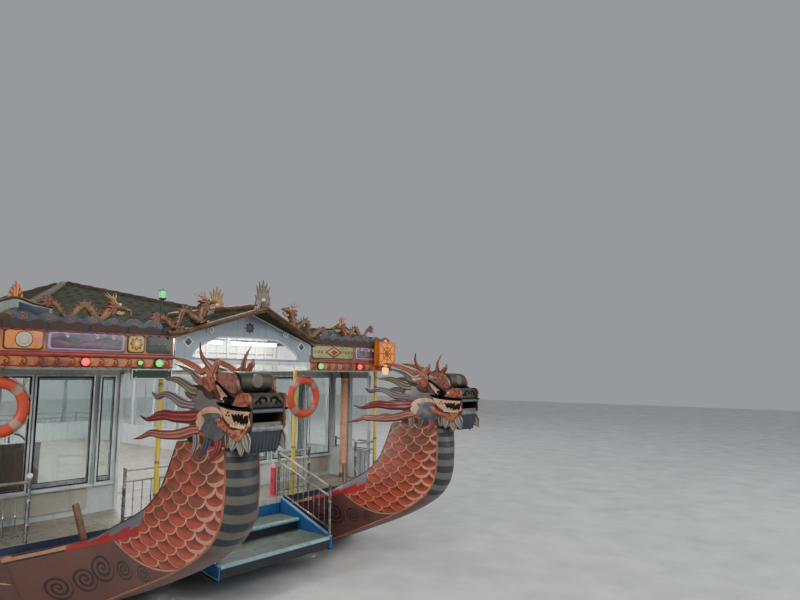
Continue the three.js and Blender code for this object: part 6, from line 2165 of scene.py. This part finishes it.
class BOAT_OT_stage(Operator):
    """Sets the floor at the waterline, the soft studio light and the camera."""
    bl_idname = "boat.stage"
    bl_label = "Stage"

    def execute(self, context):
        camera = bpy.data.objects.new("camera", bpy.data.cameras.new("camera"))
        camera.data.lens = LENS
        camera.data.sensor_width = 36
        camera.matrix_world = camera_matrix()
        context.scene.collection.objects.link(camera)
        context.scene.camera = camera
        half = 60
        level = ORIGIN[2] + WATERLINE
        mesh = bpy.data.meshes.new("floor")
        square = [(*point, level) for point in corners((-half, -half), (half, half))]
        mesh.from_pydata(square, [], [(0, 1, 2, 3)])
        mesh.materials.append(PAINTS["floor"])
        floor = bpy.data.objects.new("floor", mesh)
        context.scene.collection.objects.link(floor)
        world = bpy.data.worlds.new("Soft studio")
        world.use_nodes = True
        background = world.node_tree.nodes["Background"]
        background.inputs["Color"].default_value = (0.8, 0.83, 0.88, 1)
        background.inputs["Strength"].default_value = 0.42
        context.scene.world = world
        area_light("key", (20, -16, 14), (3, -1, 2), 10, 3300, (1, 0.97, 0.93))
        area_light("fill", (22, 10, 9), (4, 0, 2), 12, 1200, (0.93, 0.96, 1))
        area_light("back", (-16, 12, 16), (0, 0, 2), 12, 2200)
        return {"FINISHED"}


class BOAT_PT_panel(Panel):
    bl_idname = "BOAT_PT_panel"
    bl_label = "Dragon boat"
    bl_space_type = "VIEW_3D"
    bl_region_type = "UI"
    bl_category = "Boat"

    def draw(self, context):
        settings = context.scene.boat_settings
        for key in BoatSettings.__annotations__:
            self.layout.prop(settings, key)
        for maker in MAKERS:
            self.layout.operator(maker.bl_idname)


MAKERS = (BOAT_OT_stage, BOAT_OT_necks, BOAT_OT_heads, BOAT_OT_hulls, BOAT_OT_stairs, BOAT_OT_rails,
          BOAT_OT_cabin, BOAT_OT_roof, BOAT_OT_frieze, BOAT_OT_porch, BOAT_OT_ornaments, BOAT_OT_fittings,
          BOAT_OT_tails, BOAT_OT_steering)
CLASSES = (BoatSettings, *MAKERS, BOAT_PT_panel)


def register():
    for item in CLASSES:
        bpy.utils.register_class(item)
    bpy.types.Scene.boat_settings = PointerProperty(type=BoatSettings)


def unregister():
    del bpy.types.Scene.boat_settings
    for item in reversed(CLASSES):
        bpy.utils.unregister_class(item)


def main():
    register()
    make_paints(bpy.context.scene.boat_settings)
    for maker in MAKERS:
        group, action = maker.bl_idname.split(".")
        getattr(getattr(bpy.ops, group), action)()


if __name__ == "__main__":
    main()
